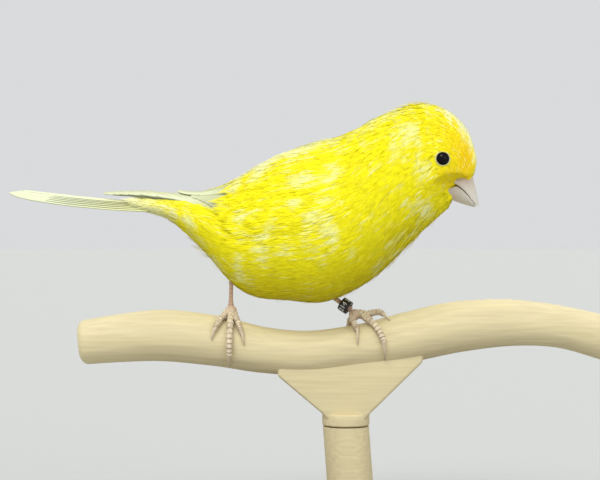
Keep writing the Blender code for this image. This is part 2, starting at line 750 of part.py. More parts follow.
def tail_core():
    """Closed core of coverts at the root of the tail, drawn in beneath the wing tips."""
    rings = []
    for place in even(TAIL_CORE_START, TAIL_CORE_END, TAIL_CORE_RINGS):
        taper = smooth_step((VENT_CUT - place) / (VENT_CUT - TAIL_CORE_END))
        ring = []
        for index in range(TAIL_CORE_SIDES):
            degrees = 360.0 * index / TAIL_CORE_SIDES
            angle = abs((degrees + 180.0) % 360.0 - 180.0)
            inset = TAIL_INSET_UNDER + TAIL_INSET * smooth_step((130.0 - angle) / 30.0)
            ring.append(body_point(place, degrees, -inset))
        middle = sum(ring, Vector()) / TAIL_CORE_SIDES
        rings.append([middle.lerp(point, 1.0 - TAIL_CORE_TAPER * taper) for point in ring])
    return loft("tail", rings)


def build_tail(collection, bird, cutters):
    """The tail: overlapping feathers that fan from a core of coverts."""
    tail = add_object("tail", tail_core(), collection, bird)
    pieces = [tail_feather(side, order) for order in range(TAIL_PAIRS) for side in (-1, 1)]
    pieces += [under_covert(offset) for offset in even(-UNDER_COVERT_FAN, UNDER_COVERT_FAN, UNDER_COVERTS)]
    join(tail, pieces, cutters)
    return tail


def perch_spot(x):
    """Height of the bar's middle and its radius at x."""
    for index, (here, after) in enumerate(zip(PERCH, PERCH[1:])):
        if x <= after[0] or index == len(PERCH) - 2:
            place = index + (x - here[0]) / (after[0] - here[0])
            break
    _, z, radius = spline(PERCH, place)
    return z, radius


def perch_mesh(name, extra=0.0):
    """The bar as a bevelled curve with a rounded natural end and a square cut end."""
    first, last = PERCH[0][0], PERCH[-1][0]
    stops = []
    for turn in even(0.0, math.pi / 2, 4):
        inset = PERCH_END_ROUND * (1 - math.sin(turn))
        stops.append((first + PERCH_END_ROUND * (1 - math.cos(turn)), inset))
    stops += [(x, 0.0) for x in even(first + PERCH_END_ROUND, last, PERCH_STEPS)[1:]]
    curve = bpy.data.curves.new(name, "CURVE")
    curve.dimensions = "3D"
    curve.bevel_depth = MM
    curve.bevel_resolution = PERCH_SIDE_STEPS
    curve.use_fill_caps = True
    line = curve.splines.new("POLY")
    line.points.add(len(stops) - 1)
    for point, (x, inset) in zip(line.points, stops):
        z, radius = perch_spot(x)
        point.co = (x * MM, 0.0, z * MM, 1.0)
        point.radius = radius - inset + extra
    holder = bpy.data.objects.new(name, curve)
    bpy.context.scene.collection.objects.link(holder)
    depsgraph = bpy.context.evaluated_depsgraph_get()
    depsgraph.update()
    mesh = bpy.data.meshes.new_from_object(holder.evaluated_get(depsgraph))
    bpy.data.objects.remove(holder)
    shape = bmesh.new()
    shape.from_mesh(mesh)
    bmesh.ops.remove_doubles(shape, verts=shape.verts, dist=1e-6)
    bmesh.ops.recalc_face_normals(shape, faces=shape.faces)
    shape.to_mesh(mesh)
    shape.free()
    mesh.name = name
    return mesh


def on_perch(x, degrees, clear):
    """Point at a distance from the bar's skin; degrees run from its top to its near side."""
    z, radius = perch_spot(x)
    a = math.radians(degrees)
    reach = radius + clear
    return Vector((x, -reach * math.sin(a), z + reach * math.cos(a)))


def scute_rings(rows, first, last, count, spot):
    """Rings of a limb along rows, stepped out at the lower edge of each scute."""
    points, radii = [], []
    for index in range(count):
        for f, rise in ((SCUTE_EDGE, -SCUTE_RISE / 2), (1.0 - SCUTE_EDGE, SCUTE_RISE / 2)):
            values = spline(rows, first + (last - first) * (index + f) / count)
            points.append(spot(values))
            radii.append(values[-1] * (1.0 + rise))
    return points, radii


def toe_mesh(name, rows):
    """One toe with its scutes and, beyond the claw's row, its claw."""
    def spot(values):
        return on_perch(*values[:3])

    points, radii = scute_rings(rows, 0.0, TOE_CLAW_ROW, TOE_SCUTES, spot)
    for place in even(TOE_CLAW_ROW + 0.5, len(rows) - 1.0, CLAW_RINGS):
        values = spline(rows, place)
        points.append(spot(values))
        radii.append(max(values[-1], CLAW_TIP_RADIUS))
    return loft(name, tube_rings(points, radii, TOE_SIDES))


def build_foot(name, collection, cutters):
    """A foot: its pad and four toes with their claws, clear of the bar."""
    toes = dict(TOES[name])
    pad_place = toes.pop("pad")
    foot = add_object(name, ball(name, PAD_RADIUS, pad_place, 12, 8, PAD_SHAPE), collection)
    join(foot, [toe_mesh(toe, rows) for toe, rows in toes.items()], cutters)
    cut(foot, perch_mesh("clearance", CUT_CLEARANCE), cutters)
    return foot


def shank_line(name, count):
    """Points and radii along a shank's middle."""
    rows = [(*point, radius) for point, radius in SHANKS[name]]
    points, radii = [], []
    for place in even(0.0, len(rows) - 1.0, count):
        x, y, z, radius = spline(rows, place)
        points.append(Vector((x, y, z)))
        radii.append(radius)
    return points, radii


def build_leg(name, collection, cutters, bird):
    """A leg: its bare shank up to where it enters the plumage."""
    def shank_spot(values):
        return Vector(values[:3])

    rows = [(*point, radius) for point, radius in SHANKS[name]]
    points, radii = scute_rings(rows, 0.0, len(rows) - 1.0, SHANK_SCUTES, shank_spot)
    leg = add_object(name, loft(name, tube_rings(points, radii, SHANK_SIDES)), collection)
    trunk = body_mesh("trunk", VENT_CUT, NECK_CUT, CUT_CLEARANCE)
    cut(leg, trunk, cutters, bird)
    foot = dict(TOES[name.replace("leg", "foot")])
    pad = ball("pad", PAD_RADIUS + CUT_CLEARANCE, foot["pad"], 12, 8, PAD_SHAPE)
    cut(leg, pad, cutters)
    return leg


def build_ring(collection):
    """The closed band round the left shank, as a turned profile."""
    points, _ = shank_line("leg_left", 12)
    direction = (points[4] - points[0]).normalized()
    start = points[0] + direction * RING_START
    mesh = bpy.data.meshes.new("leg_ring")
    shape = bmesh.new()
    profile = ((RING_INNER, 0.0), (RING_OUTER, 0.0), (RING_OUTER, RING_LENGTH),
               (RING_INNER, RING_LENGTH))
    corners = [shape.verts.new((radius, 0.0, height)) for radius, height in profile]
    edges = [shape.edges.new((corners[i], corners[(i + 1) % 4])) for i in range(4)]
    bmesh.ops.spin(shape, geom=corners + edges, cent=(0, 0, 0), axis=(0, 0, 1),
                   angle=2 * math.pi, steps=24, use_merge=True)
    bmesh.ops.remove_doubles(shape, verts=shape.verts, dist=1e-4)
    bmesh.ops.recalc_face_normals(shape, faces=shape.faces)
    turn = direction.to_track_quat("Z", "Y").to_matrix().to_4x4()
    shape.transform(Matrix.Scale(MM, 4) @ Matrix.Translation(start) @ turn)
    shape.to_mesh(mesh)
    shape.free()
    return add_object("leg_ring", mesh, collection)


def build_web(collection, cutters):
    """The flat three-cornered web under the bar, with the collar that takes the stem."""
    half = STEM_RADIUS
    left, right = WEB_TOP_LEFT, WEB_TOP_RIGHT
    outline = [
        (left[0], perch_spot(left[0])[0]), left, (STEM_TOP_X - half, WEB_BOTTOM_Z + COLLAR_HEIGHT),
        (STEM_TOP_X - WEB_FOOT, WEB_FOOT_Z), (STEM_TOP_X + WEB_FOOT, WEB_FOOT_Z),
        (STEM_TOP_X + half, WEB_BOTTOM_Z + COLLAR_HEIGHT), right, (right[0], perch_spot(right[0])[0]),
    ]
    shape = bmesh.new()
    corners = [shape.verts.new((x, -WEB_THICKNESS / 2, z)) for x, z in outline]
    face = shape.faces.new(corners)
    grown = bmesh.ops.extrude_face_region(shape, geom=[face])
    moved = [item for item in grown["geom"] if isinstance(item, bmesh.types.BMVert)]
    bmesh.ops.translate(shape, vec=Vector((0.0, WEB_THICKNESS, 0.0)), verts=moved)
    web = add_object("perch_web", mesh_from("perch_web", shape), collection)
    collar = bmesh.new()
    bmesh.ops.create_cone(collar, cap_ends=True, segments=ROUND_STEPS, radius1=COLLAR_RADIUS,
                          radius2=COLLAR_RADIUS, depth=COLLAR_HEIGHT)
    middle = Vector((STEM_TOP_X, 0.0, WEB_BOTTOM_Z + COLLAR_HEIGHT / 2))
    bmesh.ops.translate(collar, vec=middle, verts=collar.verts)
    join(web, [mesh_from("collar", collar)], cutters)
    cut(web, perch_mesh("clearance", GAP), cutters)
    return web


def build_stand(collection):
    """The stand: a flat base with rounded corners and one short rod up to the web."""
    width, depth, height = BASE_SIZE
    shape = bmesh.new()
    bmesh.ops.create_cube(shape, size=1.0)
    bmesh.ops.scale(shape, vec=Vector(BASE_SIZE), verts=shape.verts)
    bmesh.ops.translate(shape, vec=Vector((0.0, 0.0, height / 2)), verts=shape.verts)
    upright = [e for e in shape.edges if abs(e.verts[0].co.z - e.verts[1].co.z) > height / 2]
    bmesh.ops.bevel(shape, geom=upright, offset=BASE_CORNER, offset_type="OFFSET", segments=6,
                    profile=0.5, affect="EDGES", material=-1)
    base = add_object("stand_base", mesh_from("stand_base", shape), collection)
    edge = base.modifiers.new("edge", "BEVEL")
    edge.width = BASE_EDGE * MM
    edge.segments = 2
    edge.limit_method = "ANGLE"
    edge.angle_limit = math.radians(50.0)
    rod = bmesh.new()
    foot_z, top_z = height + GAP, WEB_BOTTOM_Z - GAP
    bmesh.ops.create_cone(rod, cap_ends=True, segments=ROUND_STEPS, radius1=STEM_RADIUS,
                          radius2=STEM_RADIUS, depth=top_z - foot_z)
    bmesh.ops.translate(rod, vec=Vector((0.0, 0.0, (top_z + foot_z) / 2)), verts=rod.verts)
    for vert in rod.verts:
        vert.co.x += STEM_TOP_X if vert.co.z > (top_z + foot_z) / 2 else STEM_FOOT_X
    rod_object = add_object("stand_rod", mesh_from("stand_rod", rod), collection)
    return base, rod_object


def clear_scene():
    """Remove the scene's objects."""
    for thing in list(bpy.data.objects):
        bpy.data.objects.remove(thing)


def main():
    """Build every node of the model."""
    clear_scene()
    scene = bpy.context.scene.collection
    collection = bpy.data.collections.new("canary")
    cutters = bpy.data.collections.new("cutters")
    scene.children.link(collection)
    scene.children.link(cutters)
    look = materials()

    bird = bpy.data.objects.new("bird", None)
    collection.objects.link(bird)
    bird.rotation_euler.z = BIRD_TURN
    pivot = Vector((TURN_AXIS_X, 0.0, 0.0))
    bird.location = (pivot - Matrix.Rotation(BIRD_TURN, 3, "Z") @ pivot) * MM
    bpy.context.view_layer.update()

    dress(build_torso(collection, bird), look["plumage"])
    dress(build_neck(collection, bird), look["plumage"])
    dress(build_head(collection, bird, cutters), look["plumage"])
    for eye in build_eyes(collection, bird):
        dress(eye, look["eye"])
    for half in build_bill(collection, bird, cutters):
        dress(half, look["horn"])
    for wing in build_wings(collection, bird, cutters):
        dress(wing, look["pale plumage"])
    dress(build_tail(collection, bird, cutters), look["pale plumage"])
    for side in ("right", "left"):
        dress(build_leg("leg_" + side, collection, cutters, bird), look["leg skin"])
        dress(build_foot("foot_" + side, collection, cutters), look["leg skin"])
    dress(build_ring(collection), look["band"])
    dress(add_object("perch_bar", perch_mesh("perch_bar"), collection), look["perch wood"])
    dress(build_web(collection, cutters), look["perch wood"])
    base, rod = build_stand(collection)
    dress(base, look["stand wood"])
    dress(rod, look["perch wood"])


main()
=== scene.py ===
"""Life-size canary on its perch: feathers, bill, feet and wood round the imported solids."""
from __future__ import annotations

import logging
import math
from dataclasses import dataclass, field
from enum import Enum
from typing import Callable, Sequence

import bmesh
import bpy
import numpy as np
from mathutils import Matrix, Vector, noise

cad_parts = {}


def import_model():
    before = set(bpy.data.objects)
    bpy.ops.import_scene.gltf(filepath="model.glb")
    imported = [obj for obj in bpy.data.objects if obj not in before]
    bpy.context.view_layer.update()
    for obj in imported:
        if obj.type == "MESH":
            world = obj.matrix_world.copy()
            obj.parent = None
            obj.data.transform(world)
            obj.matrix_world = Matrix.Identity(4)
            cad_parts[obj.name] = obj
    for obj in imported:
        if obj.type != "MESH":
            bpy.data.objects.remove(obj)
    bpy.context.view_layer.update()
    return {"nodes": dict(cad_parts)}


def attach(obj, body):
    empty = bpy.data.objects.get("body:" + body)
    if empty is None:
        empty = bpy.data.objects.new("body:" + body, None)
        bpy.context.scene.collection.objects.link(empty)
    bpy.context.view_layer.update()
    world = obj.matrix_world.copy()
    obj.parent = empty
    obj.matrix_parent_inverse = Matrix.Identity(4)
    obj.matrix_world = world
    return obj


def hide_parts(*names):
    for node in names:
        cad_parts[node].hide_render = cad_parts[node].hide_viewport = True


LOG = logging.getLogger("canary")
MM = 0.001
SEED = 41
# Distances in mm, and shares of a sheet, that are smaller than this count as none.
NEAR = 1e-4
# Half the stretch over which the direction of a limb or of the body is measured, in places.
STEP = 0.02
SIDES = (("right", -1.0), ("left", 1.0))
# Radians that the noise turns round the perch and a toe, just short of a full turn.
NOISE_TURN = 6.28

Array = np.ndarray
Pair = tuple[float, float]
Triple = tuple[float, float, float]
Shape = Callable[[Array, Array], Array]
Paint = Callable[[Array, Array], Array]

# Sections of the plumage, tail to bill: top x, z, underside x, z and half the width, in mm.
BODY_SECTIONS = (
    (-73.3, 96.4, -73.3, 93.8, 3.2),
    (-65.3, 96.2, -65.9, 92.9, 3.6),
    (-57.1, 96.0, -58.2, 91.2, 4.4),
    (-48.8, 95.8, -51.8, 89.2, 6.0),
    (-43.0, 96.6, -45.9, 84.9, 9.0),
    (-36.9, 98.2, -39.2, 78.4, 12.5),
    (-30.6, 101.0, -32.0, 70.5, 15.2),
    (-23.7, 104.8, -25.7, 67.2, 17.0),
    (-16.5, 108.1, -17.1, 66.4, 18.0),
    (-9.2, 110.6, -7.5, 65.9, 18.4),
    (-2.9, 111.9, 1.0, 69.0, 17.8),
    (2.4, 114.1, 8.0, 73.5, 16.4),
    (7.2, 116.8, 14.1, 79.3, 14.4),
    (11.9, 118.7, 19.7, 84.9, 12.6),
    (16.9, 120.3, 23.3, 88.2, 11.3),
    (21.6, 120.8, 26.1, 90.6, 10.6),
    (26.1, 119.6, 27.7, 92.0, 10.3),
    (30.2, 116.9, 28.2, 92.9, 9.6),
    (33.1, 113.2, 28.4, 93.3, 8.3),
    (34.8, 108.7, 28.6, 93.6, 6.8),
    (35.5, 104.6, 28.9, 93.95, 5.3),
    (34.7, 100.4, 29.5, 94.5, 3.8),
)
BILL_ROOT = len(BODY_SECTIONS) - 1.0

# Edges of the folded wing: place, upper edge and lower edge in degrees from the back's middle.
WING_EDGES = (
    (0.0, 14.0, 62.0), (2.0, 12.0, 62.0), (3.0, 11.0, 60.0), (4.3, 11.0, 62.0), (5.8, 14.0, 80.0),
    (7.1, 20.0, 94.0), (8.0, 25.0, 102.0), (9.2, 34.0, 104.0), (10.3, 48.0, 98.0),
)
# How deep a folded wing presses the plumage in, and how high its lowest feathers lie, in mm.
POCKET_DEPTHS = ((0.0, 1.5), (2.5, 1.8), (3.0, 2.2), (4.3, 2.8), (5.5, 3.0), (11.0, 3.0))
WING_FLOORS = ((0.0, 0.2), (1.0, 0.3), (2.0, 0.2), (3.0, -0.6), (4.3, -2.2), (5.5, -2.5), (11.0, -2.5))

# Where the bill leaves the feathers: height and distance along the bird.
BILL_LINE = (
    (93.3, 30.2), (94.0, 28.3), (96.6, 27.5), (97.6, 28.6),
    (98.2, 30.0), (99.8, 30.5), (100.5, 33.4), (101.2, 37.0),
)


def table(rows: Sequence[Sequence[float]], place: Array, column: int = 1) -> Array:
    """Read one column of a table of straight lines.

    Args:
        rows: Rows whose first number is their place.
        place: Places to read at.
        column: The column to read.

    Returns:
        The column's values at the places.
    """
    data = np.asarray(rows, float)
    return np.interp(place, data[:, 0], data[:, column])


def ease(value: Array) -> Array:
    """Ease from 0 to 1 as value goes from 0 to 1."""
    value = np.clip(value, 0.0, 1.0)
    return value * value * (3.0 - 2.0 * value)


def signed(degrees: Array) -> Array:
    """The same turns, between -180 and 180 degrees."""
    return (degrees + 180.0) % 360.0 - 180.0


def blend(one: Array, other: Array, share: Array | float) -> Array:
    """Go from one value or colour to another by a share."""
    return one + (other - one) * share


def shades(one: Sequence[float], other: Sequence[float], share: Array) -> Array:
    """Linear colours between two, one for each share."""
    return blend(np.array(one), np.array(other), share[:, None])


def unit(vectors: Array) -> Array:
    """The same directions with a length of one."""
    return vectors / np.linalg.norm(vectors, axis=-1, keepdims=True)


def bumps(x: Array, y: Array, z: Array | float) -> Array:
    """Smooth heights between about -1 and 1, always the same at the same spot."""
    return np.array([noise.noise(Vector(spot)) for spot in zip(*np.broadcast_arrays(x, y, z))])


def wing_edges(place: Array) -> tuple[Array, Array]:
    """Upper and lower edge of a folded wing in degrees."""
    return table(WING_EDGES, place), table(WING_EDGES, place, 2)


def linked(name: str, data: bpy.types.ID) -> bpy.types.Object:
    """Make an object of a mesh, a lamp, a camera or a text, linked to the scene."""
    thing = bpy.data.objects.new(name, data)
    bpy.context.scene.collection.objects.link(thing)
    return thing


def curve(rows: Array, place: Array) -> Array:
    """Read the smooth curve through rows, where whole places are the rows.

    Args:
        rows: One row of numbers for each whole place.
        place: Places to read at, of any shape.

    Returns:
        The rows' values at the places, with one more axis at the end.
    """
    place = np.asarray(place, float)
    last = len(rows) - 1
    start = np.clip(np.floor(place).astype(int), 0, last - 1)
    f = (place - start)[..., None]
    padded = np.vstack([2 * rows[0] - rows[1], rows, 2 * rows[-1] - rows[-2]])
    before, here, after, beyond = (padded[start + step] for step in range(4))
    rise = (after - before) * f + (2 * before - 5 * here + 4 * after - beyond) * f ** 2
    return here + (rise + (3 * here - before - 3 * after + beyond) * f ** 3) / 2


@dataclass
class BodyShape:
    """The plumage's outer surface, in places along the bird and degrees round it."""

    turn_degrees: float = -10.0
    turn_axis_x: float = -14.0
    fullness: float = 0.09
    pocket_margin: float = 6.0
    pocket_front: float = 10.45
    pocket_front_margin: float = 0.4
    face_x: float = 28.2
    face_z: float = 94.0
    face_slope: float = 0.42
    bill_room: float = 2.9
    cheek_slope: float = 1.1
    forehead_room: float = 7.0
    forehead_z: float = 99.0
    forehead_rise: float = 4.0
    face_sharpness: float = 2.5
    line_step: float = 0.05
    line_turn: float = 5.0
    rows: Array = field(default_factory=lambda: np.array(BODY_SECTIONS))

    def __post_init__(self) -> None:
        """Measure the surface's lines from tail to bill once."""
        self.line_places = np.arange(-1.0, BILL_ROOT + 0.5, self.line_step)
        self.line_degrees = np.arange(0.0, 181.0, self.line_turn)
        places, degrees = np.meshgrid(self.line_places, self.line_degrees)
        points = self.point(places, degrees)
        steps = np.linalg.norm(np.diff(points, axis=1), axis=2)
        self.line_lengths = np.concatenate([np.zeros((len(steps), 1)), np.cumsum(steps, axis=1)], axis=1)

    def point(self, place: Array, degrees: Array, lift: Array | float = 0.0) -> Array:
        """Points on the surface or off it.

        Args:
            place: Places along the bird.
            degrees: Degrees from the back's middle, negative on the near side.
            lift: Distance outside the surface, in mm.

        Returns:
            Points in mm in the model's own frame.
        """
        place, degrees, lift = np.broadcast_arrays(place, degrees, lift)
        top_x, top_z, under_x, under_z, half = np.moveaxis(curve(self.rows, place), -1, 0)
        up_x, up_z = (top_x - under_x) / 2, (top_z - under_z) / 2
        tall = np.hypot(up_x, up_z)
        a = np.radians(degrees)
        out = tall * np.sin(a)
        rise = half * (np.cos(a) - self.fullness * np.cos(2 * a))
        reach = np.hypot(out, rise)
        along = tall * np.cos(a) + lift * rise / reach
        x = (top_x + under_x) / 2 + up_x / tall * along
        z = (top_z + under_z) / 2 + up_z / tall * along
        y = self.narrowed(half * np.sin(a) * (1 - self.fullness * np.cos(a)), x, z) + lift * out / reach
        return self.turned(np.stack([x, y, z], axis=-1))

    def narrowed(self, y: Array, x: Array, z: Array) -> Array:
        """Draw the face in towards the root of the bill.

        Args:
            y: Distances from the bird's middle plane in mm.
            x: Distances along the bird.
            z: Heights.

        Returns:
            The distances from the middle plane, no wider near the bill than it leaves room for.
        """
        behind = self.face_x + self.face_slope * (z - self.face_z) - x
        forehead = self.forehead_room * ease((z - self.forehead_z) / self.forehead_rise)
        room = self.bill_room + self.cheek_slope * np.clip(behind, -0.5, 60.0) + forehead
        soft = np.logaddexp(-self.face_sharpness * np.abs(y), -self.face_sharpness * room)
        return np.sign(y) * np.maximum(-soft / self.face_sharpness, 0.0)

    def turned(self, points: Array) -> Array:
        """Turn points in the bird's own profile to where the bird stands.

        Args:
            points: Points in mm before the bird is turned.

        Returns:
            The points in the model's own frame.
        """
        turn = math.radians(self.turn_degrees)
        x, y = points[..., 0] - self.turn_axis_x, points[..., 1]
        moved = [self.turn_axis_x + x * math.cos(turn) - y * math.sin(turn),
                 x * math.sin(turn) + y * math.cos(turn), points[..., 2]]
        return np.stack(moved, axis=-1)

    def own_x(self, points: Array) -> Array:
        """Distances along the bird itself of points in the model's own frame."""
        turn = math.radians(self.turn_degrees)
        x = (points[..., 0] - self.turn_axis_x) * math.cos(turn) + points[..., 1] * math.sin(turn)
        return x + self.turn_axis_x

    def walk(self, place: Array, degrees: Array, distance: Array) -> Array:
        """Places reached from others by a distance towards the tail.

        Args:
            place: Places to start from.
            degrees: Degrees of the lines that are followed.
            distance: Distances in mm.

        Returns:
            The places at the ends of the walks.
        """
        place, degrees, distance = (a.ravel() for a in np.broadcast_arrays(place, degrees, distance))
        line = np.clip(np.round(np.abs(signed(degrees)) / self.line_turn).astype(int),
                       0, len(self.line_degrees) - 1)
        reached = np.empty(len(place))
        for index in np.unique(line):
            chosen = line == index
            lengths = self.line_lengths[index]
            here = np.interp(place[chosen], self.line_places, lengths)
            reached[chosen] = np.interp(here - distance[chosen], lengths, self.line_places)
        return reached

    def degree_length(self, place: Array, degrees: Array) -> Array:
        """Length in mm of one degree round the bird."""
        ahead, behind = self.point(place, degrees + 1.0), self.point(place, degrees - 1.0)
        return np.linalg.norm(ahead - behind, axis=-1) / 2

    def normal(self, place: Array, degrees: Array) -> Array:
        """Outward directions of the surface."""
        along = self.point(place + STEP, degrees) - self.point(place - STEP, degrees)
        around = self.point(place, degrees + 0.5) - self.point(place, degrees - 0.5)
        across = unit(np.cross(around, along))
        outward = self.point(place, degrees, 1.0) - self.point(place, degrees)
        return across * np.sign(np.sum(across * outward, axis=-1, keepdims=True))

    def pocket(self, place: Array, degrees: Array) -> Array:
        """Depth to which the folded wings press the plumage in, in mm."""
        angle = np.abs(signed(degrees))
        top, bottom = wing_edges(place)
        span = 2 * self.pocket_margin
        upper = ease((angle - top + self.pocket_margin) / span)
        lower = ease((bottom + self.pocket_margin - angle) / span)
        front = ease((self.pocket_front + self.pocket_front_margin - place) / (2 * self.pocket_front_margin))
        return table(POCKET_DEPTHS, place) * upper * lower * front

    def bill_ahead(self, points: Array) -> Array:
        """How far points lie in front of the line where the bill leaves the feathers, in mm."""
        return self.own_x(points) - table(BILL_LINE, points[..., 2])

    def place_of(self, x: float, z: float) -> Pair:
        """Place and degrees at which the surface has this x and z in the bird's own profile.

        Args:
            x: Distance along the bird in mm, before it is turned.
            z: Height in mm.

        Returns:
            The place and the degrees.
        """
        places, degrees = np.meshgrid(np.arange(12.0, BILL_ROOT + 0.01, 0.02), np.arange(20.0, 160.0, 0.5))
        points = self.point(places, degrees)
        best = np.argmin(np.hypot(self.own_x(points) - x, points[..., 2] - z))
        return float(places.ravel()[best]), float(degrees.ravel()[best])


class MeshMaker:
    """Gathers the sheets, balls and solids of one piece in a bmesh, in mm."""

    def __init__(self, name: str) -> None:
        """Start an empty piece.

        Args:
            name: The piece's name.
        """
        self.name = name
        self.shape = bmesh.new()
        self.uv = self.shape.loops.layers.uv.new("vane")
        self.tint = self.shape.verts.layers.float_color.new("tint")

    def sheet(self, form: Shape, rings: int, sides: int, closed: bool = True, capped: bool = True,
              paint: Paint | None = None) -> None:
        """Add a sheet mapped from a flat grid, closed round to a tube where asked.

        Args:
            form: Gives points in mm for arrays of how far along and how far round.
            rings: Steps along.
            sides: Steps round or across.
            closed: Whether the last side meets the first.
            capped: Whether the two ends are filled.
            paint: Gives linear colours for the same arrays.
        """
        made = bmesh.ops.create_grid(self.shape, x_segments=rings, y_segments=sides, size=0.5)
        verts = made["verts"]
        along = np.array([vert.co.x for vert in verts]) + 0.5
        around = np.array([vert.co.y for vert in verts]) + 0.5
        points = form(along, around)
        tints = paint(along, around) if paint else np.ones((len(verts), 3))
        spots = {}
        for index, vert in enumerate(verts):
            vert.co = points[index]
            vert[self.tint] = (*tints[index], 1.0)
            spots[vert] = (along[index], around[index])
        faces = {face for vert in verts for face in vert.link_faces}
        for face in faces:
            for loop in face.loops:
                loop[self.uv].uv = spots[loop.vert]
        if closed:
            seam = [vert for vert in verts if not NEAR <= spots[vert][1] <= 1 - NEAR]
            bmesh.ops.remove_doubles(self.shape, verts=seam, dist=NEAR)
        if capped:
            live = [vert for vert in verts if vert.is_valid]
            for end in (0.0, 1.0):
                rim = {vert for vert in live if abs(spots[vert][0] - end) < NEAR}
                edges = {e for vert in rim for e in vert.link_edges
                         if len(e.link_faces) == 1 and e.verts[0] in rim and e.verts[1] in rim}
                if edges:
                    bmesh.ops.contextual_create(self.shape, geom=list(edges))

    def ball(self, centre: Sequence[float], radii: Sequence[float], turn: Matrix | None = None,
             steps: int = 24, colour: Sequence[float] = (1.0, 1.0, 1.0)) -> None:
        """Add an ellipsoid.

        Args:
            centre: Its centre in mm.
            radii: Its three radii in mm.
            turn: How it is turned, if it is.
            steps: Steps round it.
            colour: Its linear colour.
        """
        made = bmesh.ops.create_uvsphere(self.shape, u_segments=steps, v_segments=steps // 2, radius=1.0)
        matrix = Matrix.Translation(Vector(centre)) @ (turn or Matrix.Identity(3)).to_4x4()
        matrix = matrix @ Matrix.Diagonal((*radii, 1.0))
        bmesh.ops.transform(self.shape, matrix=matrix, verts=made["verts"])
        for vert in made["verts"]:
            vert[self.tint] = (*colour, 1.0)

    def cylinder(self, radius: float, height: float) -> list[bmesh.types.BMVert]:
        """Add an upright cylinder round the origin, and give its vertices."""
        made = bmesh.ops.create_cone(self.shape, cap_ends=True, segments=96, radius1=radius,
                                     radius2=radius, depth=height)
        return made["verts"]

    def round_edges(self, edges: Sequence[bmesh.types.BMEdge], radius: float, steps: int = 4) -> None:
        """Round edges off by a radius in mm."""
        bmesh.ops.bevel(self.shape, geom=list(edges), offset=radius, offset_type="OFFSET", segments=steps,
                        profile=0.5, affect="EDGES", material=-1)

    def paint_all(self, colour: Sequence[float]) -> None:
        """Give every vertex the same linear colour."""
        for vert in self.shape.verts:
            vert[self.tint] = (*colour, 1.0)

    def finish(self, smooth_degrees: float = 180.0) -> bpy.types.Object:
        """Turn the gathered shapes into an object at the origin.

        Args:
            smooth_degrees: Edges sharper than this stay sharp.

        Returns:
            The object, linked to the scene.
        """
        bmesh.ops.recalc_face_normals(self.shape, faces=self.shape.faces)
        self.shape.transform(Matrix.Scale(MM, 4))
        mesh = bpy.data.meshes.new(self.name)
        self.shape.to_mesh(mesh)
        self.shape.free()
        mesh.shade_smooth()
        if smooth_degrees < 180.0:
            mesh.set_sharp_from_angle(angle=math.radians(smooth_degrees))
        return linked(self.name, mesh)


def settle(thing: bpy.types.Object, material: bpy.types.Material, slot: str, *nodes: str) -> None:
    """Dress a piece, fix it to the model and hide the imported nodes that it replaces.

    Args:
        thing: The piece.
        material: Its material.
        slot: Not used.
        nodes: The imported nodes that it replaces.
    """
    thing.data.materials.clear()
    thing.data.materials.append(material)
    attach(thing, "root")
    if nodes:
        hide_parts(*nodes)
    LOG.info("%s: %d faces", thing.name, len(thing.data.polygons))


class Tone(Enum):
    """Linear colours of the plumage."""

    LEMON = (0.96, 0.87, 0.002)
    DEEP = (0.93, 0.72, 0.002)
    GOLD = (0.90, 0.58, 0.002)
    # Olive for the painted shade under the belly.
    SHADE_OLIVE = (0.74, 0.63, 0.008)
    PALE = (0.94, 0.92, 0.25)
    CREAM = (0.95, 0.95, 0.36)
    WHITE = (0.95, 0.95, 0.55)


@dataclass(frozen=True)
class Marking:
    """A soft patch of colour on the plumage."""

    tone: Tone
    place: float
    degrees: float
    reach_place: float
    reach_degrees: float
    strength: float


